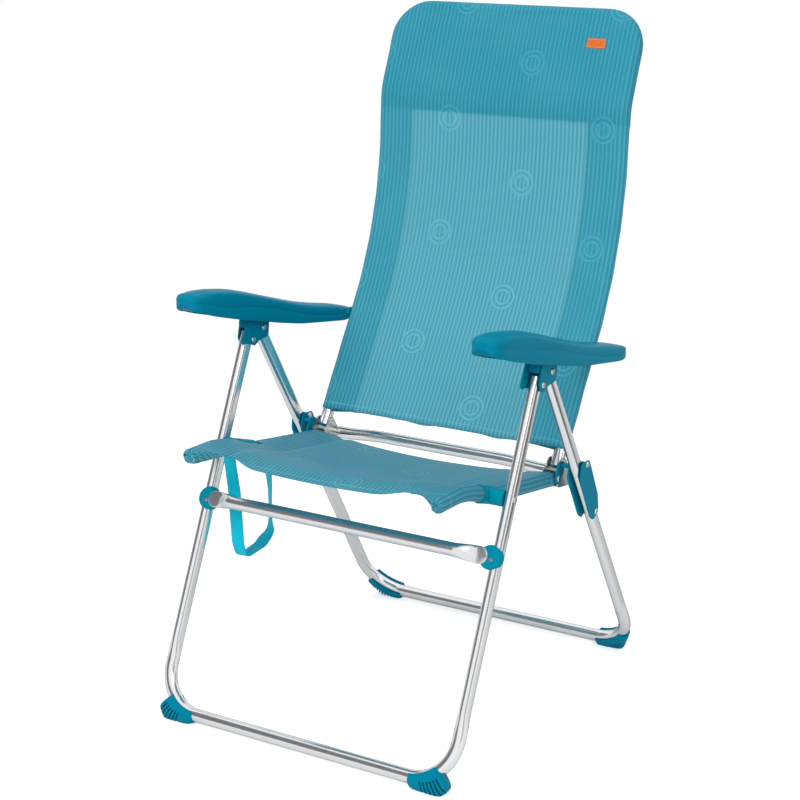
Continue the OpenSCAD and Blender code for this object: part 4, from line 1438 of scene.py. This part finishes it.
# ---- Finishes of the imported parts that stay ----
KEPT = {
    polished_cad: ("seat_frame", "back_frame", "brace_rivets", "notch_pins"),
    zinc: (
        "bracket_rivets", "leg_pivot_rivets", "seat_pivot_rivets", "link_leg_rivets",
        "link_stop_rivets", "link_seat_rivets", "hinge_clevis_left", "hinge_clevis_right",
        "hinge_rivets", "armrest_pin_left", "armrest_pin_right",
    ),
    bright_teal: (
        "seat_collar_left", "seat_collar_right", "back_tube_plugs",
        "armrest_bush_left", "armrest_bush_right",
    ),
}
for material, names in KEPT.items():
    for name in names:
        kept = nodes[name]
        if not kept.material_slots:
            kept.data.materials.append(material)
        for held in kept.material_slots:
            held.material = material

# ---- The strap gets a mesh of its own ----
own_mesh(strap)


# ---- Floor, backdrop and light ----
def flat_card(name, middle, aim, width, height):
    """Flat card that turns its face to a point."""
    turn = (Vector(aim) - Vector(middle)).to_track_quat("Z", "Y").to_matrix()
    corners = [
        Vector(middle) + turn @ Vector((sx * width / 2, sy * height / 2, 0))
        for sx, sy in ((-1, -1), (1, -1), (1, 1), (-1, 1))
    ]
    mesh = bpy.data.meshes.new(name)
    mesh.from_pydata(corners, [], [(0, 1, 2, 3)])
    made = bpy.data.objects.new(name, mesh)
    bpy.context.scene.collection.objects.link(made)
    return made


def studio_card(name, grey, middle, aim, width, height):
    """Grey card beside the chair, seen in the polished tubes only."""
    card = flat_card(name, middle, aim, width, height)
    finish = bpy.data.materials.new(name + "_finish")
    finish.use_nodes = True
    finish.node_tree.nodes.clear()
    w = Wires(finish.node_tree)
    glow = w.node("ShaderNodeEmission")
    glow.inputs["Color"].default_value = (grey, grey, grey * 1.04, 1)
    w.put(w.node("ShaderNodeOutputMaterial").inputs["Surface"], glow.outputs[0])
    card.data.materials.append(finish)
    card.visible_camera = card.visible_diffuse = False
    card.visible_shadow = card.visible_transmission = False


CHAIR_MIDDLE = (0, 0, 0.5)


def around(azimuth, elevation, distance=3.4):
    """Place at a distance from the middle of the chair."""
    a, e = math.radians(azimuth), math.radians(elevation)
    flat = distance * math.cos(e)
    return (flat * math.sin(a), -flat * math.cos(a), CHAIR_MIDDLE[2] + distance * math.sin(e))


studio_card("card_left", 0.20, around(-52, 24), CHAIR_MIDDLE, 4.6, 3.2)
studio_card("card_right", 0.34, around(70, 8), CHAIR_MIDDLE, 2.6, 1.3)
studio_card("card_low", 0.16, (0.92, 0.62, 0.35), (0.27, 0.0, 0.35), 0.5, 0.7)

FLOOR_GLOW = 0.5  # seen by the camera only
SKY_LIGHT, SKY_SEEN = 0.55, 1.0  # strength of the plain sky as light, and where it is seen

floor = flat_card("floor", (0, 0, 0), (0, 0, 1), 3.2, 3.2)
floor_finish, w, shader = new_finish("white_floor")
shader.inputs["Base Color"].default_value = (0.93, 0.93, 0.93, 1)
shader.inputs["Roughness"].default_value = 0.7
shader.inputs["Specular IOR Level"].default_value = 0.2
shader.inputs["Emission Color"].default_value = (1, 1, 1, 1)
path = w.node("ShaderNodeLightPath")
w.put(shader.inputs["Emission Strength"], w.times(path.outputs["Is Camera Ray"], FLOOR_GLOW))
floor.data.materials.append(floor_finish)

world = bpy.data.worlds.new("studio")
bpy.context.scene.world = world
world.use_nodes = True
world.node_tree.nodes.clear()
w = Wires(world.node_tree)
path = w.node("ShaderNodeLightPath")
seen = w.math("MAXIMUM", path.outputs["Is Glossy Ray"], path.outputs["Is Transmission Ray"])
seen = w.math("MAXIMUM", path.outputs["Is Camera Ray"], seen)
sky = w.node("ShaderNodeBackground")
w.put(sky.inputs["Strength"], w.plus(w.times(seen, SKY_SEEN - SKY_LIGHT), SKY_LIGHT))
sky.inputs["Color"].default_value = (1, 1, 1, 1)
w.put(w.node("ShaderNodeOutputWorld").inputs[0], sky.outputs[0])


def soft_box(name, place_at, aim, size, watts):
    light = bpy.data.lights.new(name, "AREA")
    light.shape, light.size, light.size_y = "RECTANGLE", size[0], size[1]
    light.energy = watts
    made = bpy.data.objects.new(name, light)
    made.location = place_at
    made.rotation_mode = "QUATERNION"
    made.rotation_quaternion = (Vector(aim) - Vector(place_at)).to_track_quat("-Z", "Y")
    bpy.context.scene.collection.objects.link(made)
    return made


key = soft_box("key", (0.2, -2.9, 2.8), (0, 0, 0.6), (3.4, 2.4), 78)
key.visible_glossy = False  # the sky and the cards are what the tubes mirror
soft_box("fill", (3.0, -1.6, 2.6), (0, 0, 0.6), (2.0, 2.0), 22)
soft_box("top", (0.2, 0.8, 3.4), (0, 0, 0.5), (2.0, 1.4), 8)
